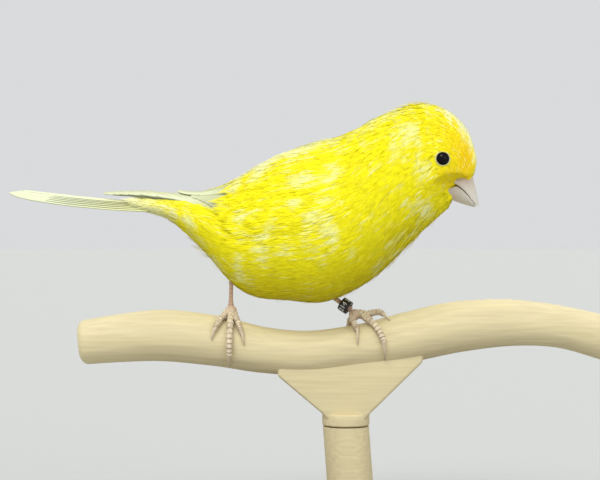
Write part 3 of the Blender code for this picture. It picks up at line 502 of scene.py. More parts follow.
# Patches that change the ground colour, and those that frost the feathers' tips.
GROUND_PATCHES = (
    Marking(Tone.DEEP, 19.0, 66.0, 2.4, 44.0, 0.95),
    Marking(Tone.GOLD, 19.5, 58.0, 1.6, 34.0, 0.9),
    Marking(Tone.GOLD, 18.2, 112.0, 1.2, 20.0, 0.55),
    Marking(Tone.DEEP, 17.6, 118.0, 2.2, 26.0, 0.65),
    Marking(Tone.DEEP, 17.0, 50.0, 1.8, 22.0, 0.4),
    Marking(Tone.PALE, 5.0, 0.0, 2.5, 25.0, 0.5),
    # Painted shade: an olive patch darkens the belly's underside.
    Marking(Tone.SHADE_OLIVE, 9.5, 180.0, 4.5, 56.0, 0.9),
    Marking(Tone.WHITE, 1.9, 120.0, 1.5, 200.0, 1.0),
    Marking(Tone.LEMON, 3.75, 78.0, 0.5, 26.0, 1.0),
)
FROST_PATCHES = (
    Marking(Tone.WHITE, 7.5, 0.0, 4.2, 46.0, 1.3),
    Marking(Tone.CREAM, 12.2, 0.0, 2.4, 52.0, 0.95),
    Marking(Tone.WHITE, 17.9, 0.0, 3.1, 40.0, 1.65),
    Marking(Tone.CREAM, 20.3, 0.0, 0.9, 24.0, 0.9),
    Marking(Tone.CREAM, 13.7, 60.0, 1.1, 30.0, 0.95),
    Marking(Tone.CREAM, 14.3, 96.0, 0.8, 22.0, 0.75),
    Marking(Tone.CREAM, 10.0, 62.0, 0.7, 14.0, 0.85),
    Marking(Tone.CREAM, 9.6, 100.0, 0.9, 26.0, 0.85),
    Marking(Tone.WHITE, 13.8, 140.0, 1.2, 30.0, 0.75),
    Marking(Tone.CREAM, 12.0, 160.0, 1.6, 34.0, 0.55),
    Marking(Tone.CREAM, 7.5, 96.0, 0.9, 10.0, 0.9),
    Marking(Tone.CREAM, 6.7, 77.0, 0.8, 7.0, 0.95),
    Marking(Tone.CREAM, 8.8, 60.0, 0.6, 9.0, 0.9),
    Marking(Tone.CREAM, 8.5, 76.0, 0.9, 6.0, 0.8),
    Marking(Tone.CREAM, 9.2, 88.0, 0.5, 10.0, 0.9),
    Marking(Tone.CREAM, 7.5, 112.0, 0.7, 13.0, 0.8),
    Marking(Tone.CREAM, 6.6, 128.0, 0.9, 22.0, 0.65),
    Marking(Tone.CREAM, 5.0, 150.0, 0.9, 40.0, 0.8),
    Marking(Tone.WHITE, 19.6, 100.0, 0.7, 14.0, 1.1),
    Marking(Tone.WHITE, 4.2, 104.0, 0.5, 40.0, 0.95),
    Marking(Tone.WHITE, 2.4, 150.0, 1.6, 80.0, 1.3),
)

# Where single strands stand up from the coat, their share as the strength, and their height in mm.
WISPS = (
    (Marking(Tone.WHITE, 5.2, 180.0, 0.5, 30.0, 0.02), 2.4),
    (Marking(Tone.WHITE, 6.4, 180.0, 0.5, 30.0, 0.015), 2.0),
    (Marking(Tone.WHITE, 14.7, 0.0, 0.7, 24.0, 0.10), 1.3),
    (Marking(Tone.WHITE, 13.2, 160.0, 1.4, 30.0, 0.05), 1.2),
)


@dataclass(frozen=True)
class Markings:
    """The plumage's colours, the same on the skin and on the coat.

    Streaks and bands of frost have a scale along the bird, one round it and a strength.
    """

    falloff: float = 1.2
    least_frost: float = 0.18
    frost_start: float = 0.42
    patch_strength: float = 1.25
    along_scale: float = 6.5
    around_scale: float = 0.3
    streaks: Triple = (0.2, 1.5, 0.8)
    bands: Triple = (0.34, 0.2, 0.75)
    side_offset: float = 7.0
    band_offset: float = 20.0

    def weight(self, marking: Marking, place: Array, degrees: Array) -> Array:
        """How strongly a marking shows at each spot."""
        along = (place - marking.place) / marking.reach_place
        around = (np.abs(signed(degrees)) - marking.degrees) / marking.reach_degrees
        return marking.strength * np.exp(-self.falloff * (along ** 2 + around ** 2))

    def painted(self, start: Tone, patches: Sequence[Marking], place: Array,
                degrees: Array) -> Array:
        """Lay patches of colour over one colour.

        Args:
            start: The colour under the patches.
            patches: The patches, from the lowest.
            place: Places of the spots.
            degrees: Degrees of the spots.

        Returns:
            One linear colour for each spot.
        """
        colour = np.tile(np.array(start.value), (len(place), 1))
        for marking in patches:
            weight = np.minimum(self.weight(marking, place, degrees), 1.0)[:, None]
            colour = blend(colour, np.array(marking.tone.value), weight)
        return colour

    def ground(self, place: Array, degrees: Array) -> Array:
        """Linear ground colours, before the tips are frosted."""
        return self.painted(Tone.LEMON, GROUND_PATCHES, place, degrees)

    def frost_tone(self, place: Array, degrees: Array) -> Array:
        """Linear colours of the frosted tips, cream or whiter."""
        return self.painted(Tone.CREAM, FROST_PATCHES, place, degrees)

    def frost(self, place: Array, degrees: Array, stray: Array | float = 0.0) -> Array:
        """How far each strand's tip is frosted, from 0 to 1, in broken streaks.

        Args:
            place: Places of the strands.
            degrees: Degrees of the strands.
            stray: What each strand differs by.

        Returns:
            The frosting.
        """
        amount = np.full(len(place), self.least_frost)
        for marking in FROST_PATCHES:
            amount = np.maximum(amount, self.weight(marking, place, degrees))
        along, around = place * self.along_scale, signed(degrees) * self.around_scale
        side = np.sign(degrees) * self.side_offset
        streaks = bumps(along * self.streaks[0], around * self.streaks[1], side) * self.streaks[2]
        bands = bumps(along * self.bands[0], around * self.bands[1], side + self.band_offset) * self.bands[2]
        return ease(streaks + bands + amount * self.patch_strength + stray - self.frost_start)


@dataclass(frozen=True)
class CoatPatch:
    """One region of the coat, which becomes one piece."""

    name: str
    places: Pair
    degrees: Pair
    strands: int = 7
    on_wing: bool = False


# How the coat changes along the bird: place, spacing, length, width, depth, lift of the tips, downward flow.
COAT_ROWS = (
    (0.0, 0.95, 7.0, 1.8, 1.0, 0.05, 0.0),
    (3.0, 0.98, 7.5, 1.9, 1.2, 0.10, 0.05),
    (5.0, 0.98, 8.0, 2.0, 1.3, 0.12, 0.10),
    (8.0, 0.98, 8.0, 2.0, 1.3, 0.11, 0.10),
    (11.5, 0.90, 7.2, 1.8, 1.2, 0.11, 0.15),
    (14.0, 0.72, 5.4, 1.45, 1.0, 0.12, 0.30),
    (16.0, 0.58, 4.0, 1.15, 0.8, 0.10, 0.40),
    (18.0, 0.46, 2.9, 0.9, 0.6, 0.09, 0.35),
    (20.0, 0.37, 2.0, 0.65, 0.45, 0.08, 0.20),
    (21.0, 0.32, 1.4, 0.5, 0.35, 0.05, 0.10),
)
WING_TOPS = ((4.0, -0.5), (5.0, -0.1), (6.0, 0.1), (7.0, 0.35), (8.0, 0.6), (10.0, 0.6), (10.6, 0.3))


@dataclass(frozen=True)
class Station:
    """One cross-section of a strand: how far along, how far the fan has opened there, and its width."""

    along: float
    fan: float
    width: float

    def corners(self) -> tuple[Triple, ...]:
        """Corners as half widths sideways, keel depths down and lean of the shading; the tip has one."""
        if self.width == 0.0:
            return ((0.0, 0.0, 0.0),)
        return (-1.0, 0.0, -0.28), (1.0, 0.0, 0.28), (0.0, 1.0, 0.0)


STATIONS = (
    Station(0.0, 0.16, 0.55), Station(0.5, 1.0, 0.74), Station(0.82, 0.95, 0.5), Station(1.0, 0.85, 0.0),
)
STRAND_CORNERS = sum(len(station.corners()) for station in STATIONS)
# Edges of a strand between its outer face and the two inner ones.
STRAND_RIMS = ((0, 1), (0, 3), (3, 6), (6, 9), (1, 4), (4, 7), (7, 9))


def strand_faces() -> tuple[Array, Array]:
    """Triangles of one strand.

    Returns:
        The corners of each triangle, and 1 for each on the outer face and -1 for each other one.
    """
    corners, outer = [(0, 2, 1)], [-1.0]
    for low in (0, 3):
        for one, two in ((0, 1), (1, 2), (2, 0)):
            corners += [(low + one, low + two, low + two + 3), (low + one, low + two + 3, low + one + 3)]
            outer += [1.0, 1.0] if one == 0 else [-1.0, -1.0]
    corners += [(6, 7, 9), (7, 8, 9), (8, 6, 9)]
    outer += [1.0, -1.0, -1.0]
    return np.array(corners), np.array(outer)


@dataclass(frozen=True)
class Feathers:
    """The feathers of one patch, with one value for each, or a row of values for its strands."""

    place: Array
    degrees: Array
    degree_length: Array
    length: Array
    width: Array
    drift: Array
    root_height: Array
    tip_height: Array
    part: Array
    sway: Array
    rise: Array

    @property
    def spread(self) -> Array:
        """How far each strand lies from the feather's middle, from -1 to 1."""
        return np.linspace(-1.0, 1.0, self.part.shape[1])

    def sideways(self, walked: Array, fan: Array | float) -> Array:
        """How far the strands have gone sideways, in mm.

        Args:
            walked: How far they have gone along the body, in mm.
            fan: Where in the open fan each strand lies.

        Returns:
            The distances.
        """
        return self.width[:, None] / 2 * fan + self.drift[:, None] * walked


@dataclass
class Coat:
    """The small feathers, each a fan of tapered strands that lies along the body."""

    body: BodyShape
    markings: Markings
    eyes: Array
    eye_clear: float = 2.2
    tip_clear: float = 2.25
    wing_front: float = 10.5
    wing_margin: float = 5.0
    covert_front: float = 10.6
    covert_rear: float = 6.35
    covert_middle: float = 0.45
    covert_bow: float = 0.9
    covert_rag: float = 0.45
    covert_shares: Pair = (-0.12, 0.94)
    tail_root: float = 3.3
    tail_degrees: float = 62.0
    wing_spacing: float = 1.05
    wing_sizes: tuple[float, ...] = (7.6, 2.6, 1.0, 0.10, 0.08)
    rim_share: float = 0.74
    rim_place: float = 6.9
    rim_drop: float = 0.75
    groove_places: Pair = (5.0, 8.6)
    groove_above: float = 1.0
    groove_depth: float = 0.55
    groove_width: float = 5.5
    lengths: Pair = (0.8, 1.2)
    widths: Pair = (0.85, 1.15)
    tip_lifts: Pair = (0.0, 1.6)
    strand_lengths: Pair = (0.8, 1.12)
    fan_roundness: float = 0.25
    fan_fall: float = 0.10
    flow_stray: float = 0.06
    sway_stray: float = 0.09
    rise_stray: float = 0.02
    frost_stray: float = 0.16
    stray_share: float = 0.004
    stray_heights: Pair = (0.2, 0.6)
    wisp_heights: Pair = (0.3, 1.0)
    rising: float = 2.4
    keel: float = 0.05
    shown_share: float = 0.8
    feather_shades: Pair = (0.95, 1.04)
    strand_shades: Pair = (0.93, 1.03)
    shortening: float = 0.7
    patch_size: float = 0.003
    map_margin: float = 0.01

    def depth(self, place: Array) -> Array:
        """Depth of the coat over the skin, in mm."""
        return table(COAT_ROWS, place, 4)

    def near_eye(self, points: Array) -> Array:
        """Distance of points from the nearer eye, in mm."""
        return np.min(np.linalg.norm(points[:, None, :] - self.eyes[None], axis=2), axis=1)

    def wing_area(self, place: Array, degrees: Array) -> Array:
        """Whether spots lie on a folded wing, well away from its edges."""
        angle = np.abs(signed(degrees))
        top, bottom = wing_edges(place)
        inside = (angle > top + self.wing_margin) & (angle < bottom - self.wing_margin)
        return inside & (place < self.wing_front)

    def groove(self, place: Array, degrees: Array) -> Array:
        """How far the coat dips beside the wing's lower edge, in mm."""
        below = np.abs(signed(degrees)) - wing_edges(place)[1] + self.groove_above
        rear, front = self.groove_places
        window = ease((place - rear) / 0.7) * ease((front - place) / 0.8)
        return self.groove_depth * window * np.exp(-(below / self.groove_width) ** 2)

    @staticmethod
    def wing_share(place: Array, degrees: Array) -> Array:
        """How far down a folded wing spots lie, from 0 at its upper edge to 1 at its lower one."""
        top, bottom = wing_edges(place)
        return (np.abs(signed(degrees)) - top) / (bottom - top)

    def wing_covered(self, place: Array, degrees: Array) -> Array:
        """Whether spots lie on the part of a folded wing that soft coverts hide."""
        share = self.wing_share(place, degrees)
        ragged = self.covert_rag * np.sin(degrees * 2.3) * np.sin(place * 9.0)
        rear = self.covert_rear + self.covert_bow * np.abs(share - self.covert_middle) + ragged
        upper, lower = self.covert_shares
        lower = lower + 0.08 * ease((place - 8.0) / 0.5)
        return (place > rear) & (place < self.covert_front) & (share > upper) & (share < lower)

    def roots(self, patch: CoatPatch, rng: np.random.Generator) -> tuple[Array, Array]:
        """Spread the roots evenly over a patch.

        Args:
            patch: The patch.
            rng: The seeded draw.

        Returns:
            Places and degrees of the roots.
        """
        step_place, step_degrees = 0.04, 2.5
        places = np.arange(patch.places[0], patch.places[1], step_place) + step_place / 2
        degrees = np.arange(patch.degrees[0], patch.degrees[1], step_degrees) + step_degrees / 2
        place, degree = (a.ravel() for a in np.meshgrid(places, degrees, indexing="ij"))
        along = np.linalg.norm(self.body.point(place + step_place / 2, degree)
                               - self.body.point(place - step_place / 2, degree), axis=1)
        area = along * self.body.degree_length(place, degree) * step_degrees
        if patch.on_wing:
            spacing = np.full(len(place), self.wing_spacing)
            area = area * self.wing_covered(place, degree)
        else:
            spacing = table(COAT_ROWS, place)
            area = area * ~self.wing_area(place, degree)
        count = np.floor(np.cumsum(area / spacing ** 2) + rng.random())
        chosen = np.nonzero(np.diff(count, prepend=count[0]) > 0)[0]
        place = place[chosen] + (rng.random(len(chosen)) - 0.5) * step_place * 3
        degree = degree[chosen] + (rng.random(len(chosen)) - 0.5) * step_degrees
        points = self.body.point(place, degree)
        keep = (self.near_eye(points) > self.eye_clear) & (self.body.bill_ahead(points) < 0.0)
        keep &= place < BILL_ROOT + 0.02
        keep &= np.abs(signed(degree)) > self.tail_degrees * (place < self.tail_root)
        return place[keep], degree[keep]

    def draw(self, patch: CoatPatch, rng: np.random.Generator) -> Feathers:
        """Draw a patch's feathers, each a little different.

        Args:
            patch: The patch.
            rng: The seeded draw.

        Returns:
            The feathers.
        """
        place, degrees = self.roots(patch, rng)
        count, size = len(place), (len(place), patch.strands)
        if patch.on_wing:
            length, width, depth, tip_lift, flow = (np.full(count, value) for value in self.wing_sizes)
            low = ease((self.wing_share(place, degrees) - self.rim_share) / 0.2)
            rim = low * ease((place - self.rim_place) / 0.8)
            base = table(WING_TOPS, place) - self.rim_drop * rim
        else:
            length, width, depth, tip_lift, flow = (table(COAT_ROWS, place, column) for column in range(2, 7))
            base = -self.groove(place, degrees)
        angle = signed(degrees)
        flow = flow * np.sign(angle) * np.sin(np.radians(np.abs(angle))) ** 2
        length = self.clear_of_eye(place, degrees, length * rng.uniform(*self.lengths, count))
        width = width * rng.uniform(*self.widths, count)
        tip_height = base + tip_lift * rng.uniform(*self.tip_lifts, count)
        drift = flow + rng.normal(0.0, self.flow_stray, count)

        fan = 1.0 - self.fan_roundness * np.linspace(-1.0, 1.0, patch.strands) ** 2
        part = length[:, None] * fan * rng.uniform(*self.strand_lengths, size)
        sway = rng.normal(0.0, self.sway_stray, size)
        rise = rng.normal(0.0, self.rise_stray, size)
        stray = rng.random(size) < self.stray_share
        rise = rise + stray * depth[:, None] * rng.uniform(*self.stray_heights, size)
        for marking, height in WISPS:
            loose = rng.random(size) < self.markings.weight(marking, place, degrees)[:, None]
            rise = rise + loose * rng.uniform(*self.wisp_heights, size) * height
        return Feathers(place, degrees, self.body.degree_length(place, degrees), length, width, drift,
                        base - depth, tip_height, part, sway, rise)

    def grow(self, patch: CoatPatch) -> bpy.types.Object:
        """Grow one patch of the coat.

        Args:
            patch: The patch.

        Returns:
            The piece, linked to the scene.
        """
        rng = np.random.default_rng(SEED + sum(map(ord, patch.name)))
        drawn = self.draw(patch, rng)
        count, strands = drawn.part.shape
        place, degrees = drawn.place[:, None], drawn.degrees[:, None]
        degree_length, width = drawn.degree_length[:, None], drawn.width[:, None]
        ground = np.repeat(self.markings.ground(drawn.place, drawn.degrees), strands, axis=0)
        white = np.repeat(self.markings.frost_tone(drawn.place, drawn.degrees), strands, axis=0)
        shown = drawn.part * self.shown_share
        strand_degrees = degrees + drawn.sideways(shown, drawn.spread) / degree_length
        stray = rng.normal(0.0, self.frost_stray, count * strands)
        frost = self.markings.frost(self.body.walk(place, degrees, shown), strand_degrees.ravel(), stray)
        shade = np.repeat(rng.uniform(*self.feather_shades, count), strands)
        shade = shade * rng.uniform(*self.strand_shades, count * strands)
        points, tints, facings = [], [], []
        for station in STATIONS:
            outward, beside = self.facing(drawn, station.along)
            walked = drawn.part * station.along
            here = self.body.walk(place, degrees, walked).reshape(count, strands)
            across = drawn.sideways(walked, drawn.spread * station.fan + drawn.sway * station.along)
            risen = 1.0 - (1.0 - station.along) ** self.rising
            height = drawn.root_height[:, None] * (1.0 - risen) + drawn.tip_height[:, None] * risen
            height = height - self.fan_fall * drawn.spread ** 2 * width * station.along
            height = height + drawn.rise * station.along
            half = width / strands * station.width
            tint = self.tint(ground, white, frost, shade, station.along).reshape(count, strands, 3)
            for sideways, down, lean in station.corners():
                turned = degrees + (across + half * sideways) / degree_length
                points.append(self.body.point(here, turned, height - self.keel * down))
                tints.append(tint)
                facings.append(np.repeat((outward + beside * lean)[:, None], strands, axis=1))
        rows = (points, tints, facings)
        points, colours, normals = (np.stack(row, axis=2).reshape(-1, 3) for row in rows)
        corners, outer = strand_faces()
        triangles = (np.arange(count * strands)[:, None, None] * STRAND_CORNERS + corners).reshape(-1, 3)
        normals = normals[triangles.ravel()] * np.repeat(np.tile(outer, count * strands), 3)[:, None]
        return self.joined(patch, points, triangles, colours, normals, self.bake_spots(drawn))

    def facing(self, drawn: Feathers, t: float) -> tuple[Array, Array]:
        """Outward and sideways directions of the body under each feather.

        Args:
            drawn: The feathers.
            t: How far from root to tip.

        Returns:
            Directions out of the body and round it.
        """
        degrees = drawn.degrees
        here = self.body.walk(drawn.place, degrees, drawn.length * t)
        beside = self.body.point(here, degrees + 0.5) - self.body.point(here, degrees - 0.5)
        lifted = self.body.point(here, degrees, 1.0) - self.body.point(here, degrees)
        return unit(self.body.normal(here, degrees) + lifted), unit(beside)

    def clear_of_eye(self, place: Array, degrees: Array, length: Array) -> Array:
        """Shorten the feathers that would lie over an eye.

        Args:
            place: Places of the roots.
            degrees: Degrees of the roots.
            length: The feathers' lengths.

        Returns:
            Lengths that stop short of the lids.
        """
        for share in (1.0, 0.75, 0.5, 0.3):
            tip = self.body.point(self.body.walk(place, degrees, length * share), degrees)
            root = self.body.point(place, degrees)
            over = (self.near_eye(tip) < self.tip_clear) | (self.near_eye((tip + root) / 2) < self.eye_clear)
            length = np.where(over, length * share * self.shortening, length)
        return length

    @staticmethod
    def tint(ground: Array, white: Array, frost: Array, shade: Array,
             t: float) -> Array:
        """Colours of the strands at one station.

        Args:
            ground: Ground colour of each strand.
            white: Frosted colour of each strand.
            frost: Frosting of each strand.
            shade: Brightness of each strand.
            t: Station from root to tip.

        Returns:
            One colour for each strand.
        """
        mixed = blend(ground, white, (frost * min(1.0, 0.25 + 0.95 * t))[:, None])
        return np.minimum(mixed * (shade * (0.9 + 0.1 * t))[:, None], 1.0)

    def bake_spots(self, drawn: Feathers) -> Array:
        """Give each vertex its spot on the map, where each feather has a small patch of its own.

        Args:
            drawn: The feathers.

        Returns:
            Map coordinates of every vertex.
        """
        count, strands = drawn.part.shape
        margin, room = self.map_margin, 1.0 - 2 * self.map_margin
        u = margin + room * ((drawn.degrees + 180.0) % 360.0) / 360.0
        v = margin + room * drawn.place / (BILL_ROOT + 1.0)
        cell = self.patch_size / strands
        rows = [(0.5 + 0.4 * sideways, station.along)
                for station in STATIONS for sideways, _, _ in station.corners()]
        spots = np.zeros((count, strands, STRAND_CORNERS, 2))
        for index, (x, y) in enumerate(rows):
            spots[:, :, index, 0] = u[:, None] + cell * (np.arange(strands) + x) - self.patch_size / 2
            spots[:, :, index, 1] = v[:, None] - self.patch_size * y
        return spots.reshape(-1, 2)

    @staticmethod
    def joined(patch: CoatPatch, points: Array, triangles: Array, colours: Array,
               normals: Array, spots: Array) -> bpy.types.Object:
        """Join a patch's strands in one mesh from arrays.

        Args:
            patch: The patch.
            points: Vertices in mm.
            triangles: Corners of the triangles.
            colours: Linear colour of each vertex.
            normals: Shading direction of each triangle's corners, close to the body's own.
            spots: Map coordinates of each vertex.

        Returns:
            The piece, linked to the scene.
        """
        mesh = bpy.data.meshes.new(patch.name)
        mesh.vertices.add(len(points))
        mesh.vertices.foreach_set("co", (points * MM).astype(np.float32).ravel())
        mesh.loops.add(triangles.size)
        mesh.loops.foreach_set("vertex_index", triangles.astype(np.int32).ravel())
        mesh.polygons.add(len(triangles))
        mesh.polygons.foreach_set("loop_start", np.arange(0, triangles.size, 3, dtype=np.int32))
        mesh.polygons.foreach_set("use_smooth", np.ones(len(triangles), bool))
        tint = mesh.attributes.new("tint", "FLOAT_COLOR", "POINT")
        opaque = np.concatenate([colours, np.ones((len(colours), 1))], axis=1)
        tint.data.foreach_set("color", opaque.astype(np.float32).ravel())
        bake = mesh.uv_layers.new(name="OFBake")
        bake.data.foreach_set("uv", spots[triangles.ravel()].astype(np.float32).ravel())
        mesh.update()
        facing = mesh.attributes.new("custom_normal", "FLOAT_VECTOR", "CORNER")
        facing.data.foreach_set("vector", unit(normals).astype(np.float32).ravel())
        ends = np.empty(len(mesh.edges) * 2, np.int32)
        mesh.edges.foreach_get("vertices", ends)
        low, high = np.sort(ends.reshape(-1, 2) % STRAND_CORNERS, axis=1).T
        rims = [one * STRAND_CORNERS + other for one, other in STRAND_RIMS]
        sharp = mesh.attributes.new("sharp_edge", "BOOLEAN", "EDGE")
        sharp.data.foreach_set("value", np.isin(low * STRAND_CORNERS + high, rims))
        return linked(patch.name, mesh)


COAT_REGIONS = (
    ("coat_face", (18.0, BILL_ROOT), 5),
    ("coat_crown", (15.5, 18.0), 5),
    ("coat_neck", (12.4, 15.5), 7),
    ("coat_breast", (9.6, 12.4), 7),
    ("coat_belly", (6.6, 9.6), 7),
    ("coat_flank", (4.2, 6.6), 7),
    ("coat_rump", (2.1, 4.2), 7),
)
COAT_PATCHES = tuple(
    CoatPatch(f"{name}_{side}", places, (-180.0, 0.0) if sign < 0 else (0.0, 180.0), strands)
    for name, places, strands in COAT_REGIONS for side, sign in SIDES
) + (
    CoatPatch("coat_wing_right", (5.0, 10.6), (-110.0, -5.0), 9, True),
    CoatPatch("coat_wing_left", (5.0, 10.6), (5.0, 110.0), 9, True),
)


class Graph:
    """Adds nodes to one shader tree and joins them."""

    def __init__(self, tree: bpy.types.NodeTree) -> None:
        """Keep the tree."""
        self.tree = tree

    def socket(self, name: str, kind: str, side: str = "INPUT") -> None:
        """Add a socket to the tree's own interface."""
        self.tree.interface.new_socket(name, in_out=side, socket_type=f"NodeSocket{kind}")

    def feed(self, node: bpy.types.Node, inputs: dict[str | int, object]) -> None:
        """Link a node's inputs to other nodes' results, or set them to plain values."""
        for key, value in inputs.items():
            if isinstance(value, bpy.types.NodeSocket):
                self.tree.links.new(value, node.inputs[key])
            else:
                node.inputs[key].default_value = value

    def add(self, kind: str, inputs: dict[str | int, object] | None = None,
            **settings: object) -> bpy.types.bpy_prop_collection:
        """Add one node.

        Args:
            kind: The node's type.
            inputs: Values or results for its inputs.
            settings: Its other settings, which are made first.

        Returns:
            The node's results.
        """
        node = self.tree.nodes.new(kind)
        for name, value in settings.items():
            setattr(node, name, value)
        self.feed(node, inputs or {})
        return node.outputs

    def sum(self, operation: str, *values: object) -> bpy.types.NodeSocket:
        """Add one step of arithmetic and give its result."""
        return self.add("ShaderNodeMath", dict(enumerate(values)), operation=operation)["Value"]


def variation_group() -> bpy.types.NodeTree:
    """Shader group that breaks up a colour finely and gives a matching height.

    Returns:
        The group, with a colour and a height output.
    """
    graph = Graph(bpy.data.node_groups.new("fine_variation", "ShaderNodeTree"))
    for name, kind in (("Color", "Color"), ("Other", "Color"), ("Amount", "Float"), ("Scale", "Float"),
                       ("Stretch", "Vector")):
        graph.socket(name, kind)
    graph.socket("Color", "Color", "OUTPUT")
    graph.socket("Height", "Float", "OUTPUT")
    given = graph.add("NodeGroupInput")
    place = graph.add("ShaderNodeTexCoord")["Object"]
    stretched = graph.add("ShaderNodeVectorMath", {0: place, 1: given["Stretch"]}, operation="MULTIPLY")
    grain = graph.add("ShaderNodeTexNoise", {
        "Detail": 4.0, "Vector": stretched["Vector"], "Scale": given["Scale"]})["Fac"]
    amount = graph.sum("MULTIPLY", grain, given["Amount"])
    varied = graph.add("ShaderNodeMix", {
        "Factor": amount, "A": given["Color"], "B": given["Other"]}, data_type="RGBA")["Result"]
    graph.add("NodeGroupOutput", {"Color": varied, "Height": grain})
    return graph.tree


def vane_group() -> bpy.types.NodeTree:
    """Shader group that draws a feather's shaft and barbs, and painted shade along its rims, from its own
    map.

    Returns:
        The group, with a shade and a height output.
    """
    shaft_place, shaft_half, rim_shade_start = 0.42, 0.03, 0.44
    barb_turns, barb_slant = 420.0, -130.0
    graph = Graph(bpy.data.node_groups.new("vane_lines", "ShaderNodeTree"))
    for name in ("Shaft", "Rim", "Barbs"):
        graph.socket(name, "Float")
    graph.socket("Shade", "Float", "OUTPUT")
    graph.socket("Height", "Float", "OUTPUT")
    given = graph.add("NodeGroupInput")
    own = graph.add("ShaderNodeUVMap", uv_map="vane")["UV"]
    split = graph.add("ShaderNodeSeparateXYZ", {"Vector": own})
    folded = graph.sum("ABSOLUTE", graph.sum("MULTIPLY_ADD", split["Y"], 2.0, -1.0))
    across = graph.sum("SUBTRACT", 1.0, folded)
    off_shaft = graph.sum("ABSOLUTE", graph.sum("SUBTRACT", across, shaft_place))
    off_middle = graph.sum("ABSOLUTE", graph.sum("SUBTRACT", across, 0.5))
    shaft = graph.sum("MULTIPLY", graph.sum("LESS_THAN", off_shaft, shaft_half), given["Shaft"])
    # Rims: painted shade along both edges of each vane, where the feathers overlap.
    rim = graph.sum("MULTIPLY", graph.sum("GREATER_THAN", off_middle, rim_shade_start), given["Rim"])
    slant = graph.sum("MULTIPLY", off_shaft, barb_slant)
    wave = graph.sum("SINE", graph.sum("MULTIPLY_ADD", split["X"], barb_turns, slant))
    barbs = graph.sum("MULTIPLY", graph.sum("MULTIPLY_ADD", wave, 0.5, 0.5), given["Barbs"])
    dark = graph.sum("ADD", graph.sum("ADD", shaft, rim), barbs)
    graph.add("NodeGroupOutput", {"Shade": graph.sum("SUBTRACT", 1.0, dark), "Height": wave})
    return graph.tree


@dataclass(frozen=True)
class Finish:
    """A surface finish, whose colour may come from the piece's own tint."""

    name: str
    colour: Triple | None
    other: Triple
    amount: float
    scale: float
    stretch: Triple = (1.0, 1.0, 1.0)
    roughness: float = 0.6
    bump: float = 0.0
    bump_distance: float = 0.0001
    specular: float = 0.5
    feathered: bool = False
    # Colour of the dark shaft and barb lines, and of the painted shade along the rims.
    line_and_shade_colour: Triple = (0.10, 0.11, 0.03)
    shaft: float = 0.2
    # Strength of the painted shade along each vane's rims.
    rim: float = 0.6
    barbs: float = 0.16

    def build(self, group: bpy.types.NodeTree, lines: bpy.types.NodeTree) -> bpy.types.Material:
        """Make the material.

        Args:
            group: The shared variation group.
            lines: The shared group that draws feathers' shafts and barbs.

        Returns:
            The material.
        """
        material = bpy.data.materials.new(self.name)
        material.use_nodes = True
        graph = Graph(material.node_tree)
        if self.colour is None:
            base = graph.add("ShaderNodeAttribute", attribute_name="tint")["Color"]
        else:
            base = (*self.colour, 1.0)
        varied = graph.add("ShaderNodeGroup", {
            "Color": base, "Other": (*self.other, 1.0), "Amount": self.amount, "Scale": self.scale,
            "Stretch": self.stretch}, node_tree=group)
        colour = varied["Color"]
        if self.feathered:
            shade = graph.add("ShaderNodeGroup", {
                "Shaft": self.shaft, "Rim": self.rim, "Barbs": self.barbs}, node_tree=lines)["Shade"]
            colour = graph.add("ShaderNodeMix", {
                "Factor": shade, "A": (*self.line_and_shade_colour, 1.0), "B": colour}, data_type="RGBA")["Result"]
        shader = material.node_tree.nodes["Principled BSDF"]
        graph.feed(shader, {"Base Color": colour, "Roughness": self.roughness,
                            "Specular IOR Level": self.specular})
        if self.bump > 0.0:
            bump = graph.add("ShaderNodeBump", {
                "Strength": self.bump, "Distance": self.bump_distance, "Height": varied["Height"]})
            graph.feed(shader, {"Normal": bump["Normal"]})
        return material


FINISHES = {
    "plumage": Finish("plumage", None, (0.96, 0.90, 0.10), 0.15, 400.0, roughness=0.75, specular=0.1),
    "vane": Finish("vane", None, (0.70, 0.76, 0.45), 0.25, 500.0, specular=0.2, feathered=True),
    "eye": Finish("eye", (0.001, 0.001, 0.002), (0.004, 0.003, 0.004), 0.3, 80.0, roughness=0.05,
                  specular=0.14),
    "horn": Finish("horn", None, (0.56, 0.50, 0.40), 0.4, 250.0, (0.5, 1.0, 1.0), 0.35, 0.08),
    "leg skin": Finish("leg skin", None, (0.42, 0.28, 0.20), 0.35, 700.0, bump=0.5, specular=0.3),
    "band": Finish("band", (0.006, 0.006, 0.008), (0.02, 0.02, 0.02), 0.4, 600.0, roughness=0.3),
    "number": Finish("number", (0.75, 0.75, 0.72), (0.6, 0.6, 0.6), 0.3, 600.0, roughness=0.5),
    "perch wood": Finish("perch wood", None, (0.40, 0.32, 0.18), 0.55, 1100.0, (0.05, 1.0, 1.0), 0.7, 0.5,
                         specular=0.25),
    "stand wood": Finish("stand wood", (0.10, 0.045, 0.02), (0.04, 0.018, 0.008), 0.8, 60.0,
                         (0.15, 1.0, 1.0), 0.4, 0.1),
}


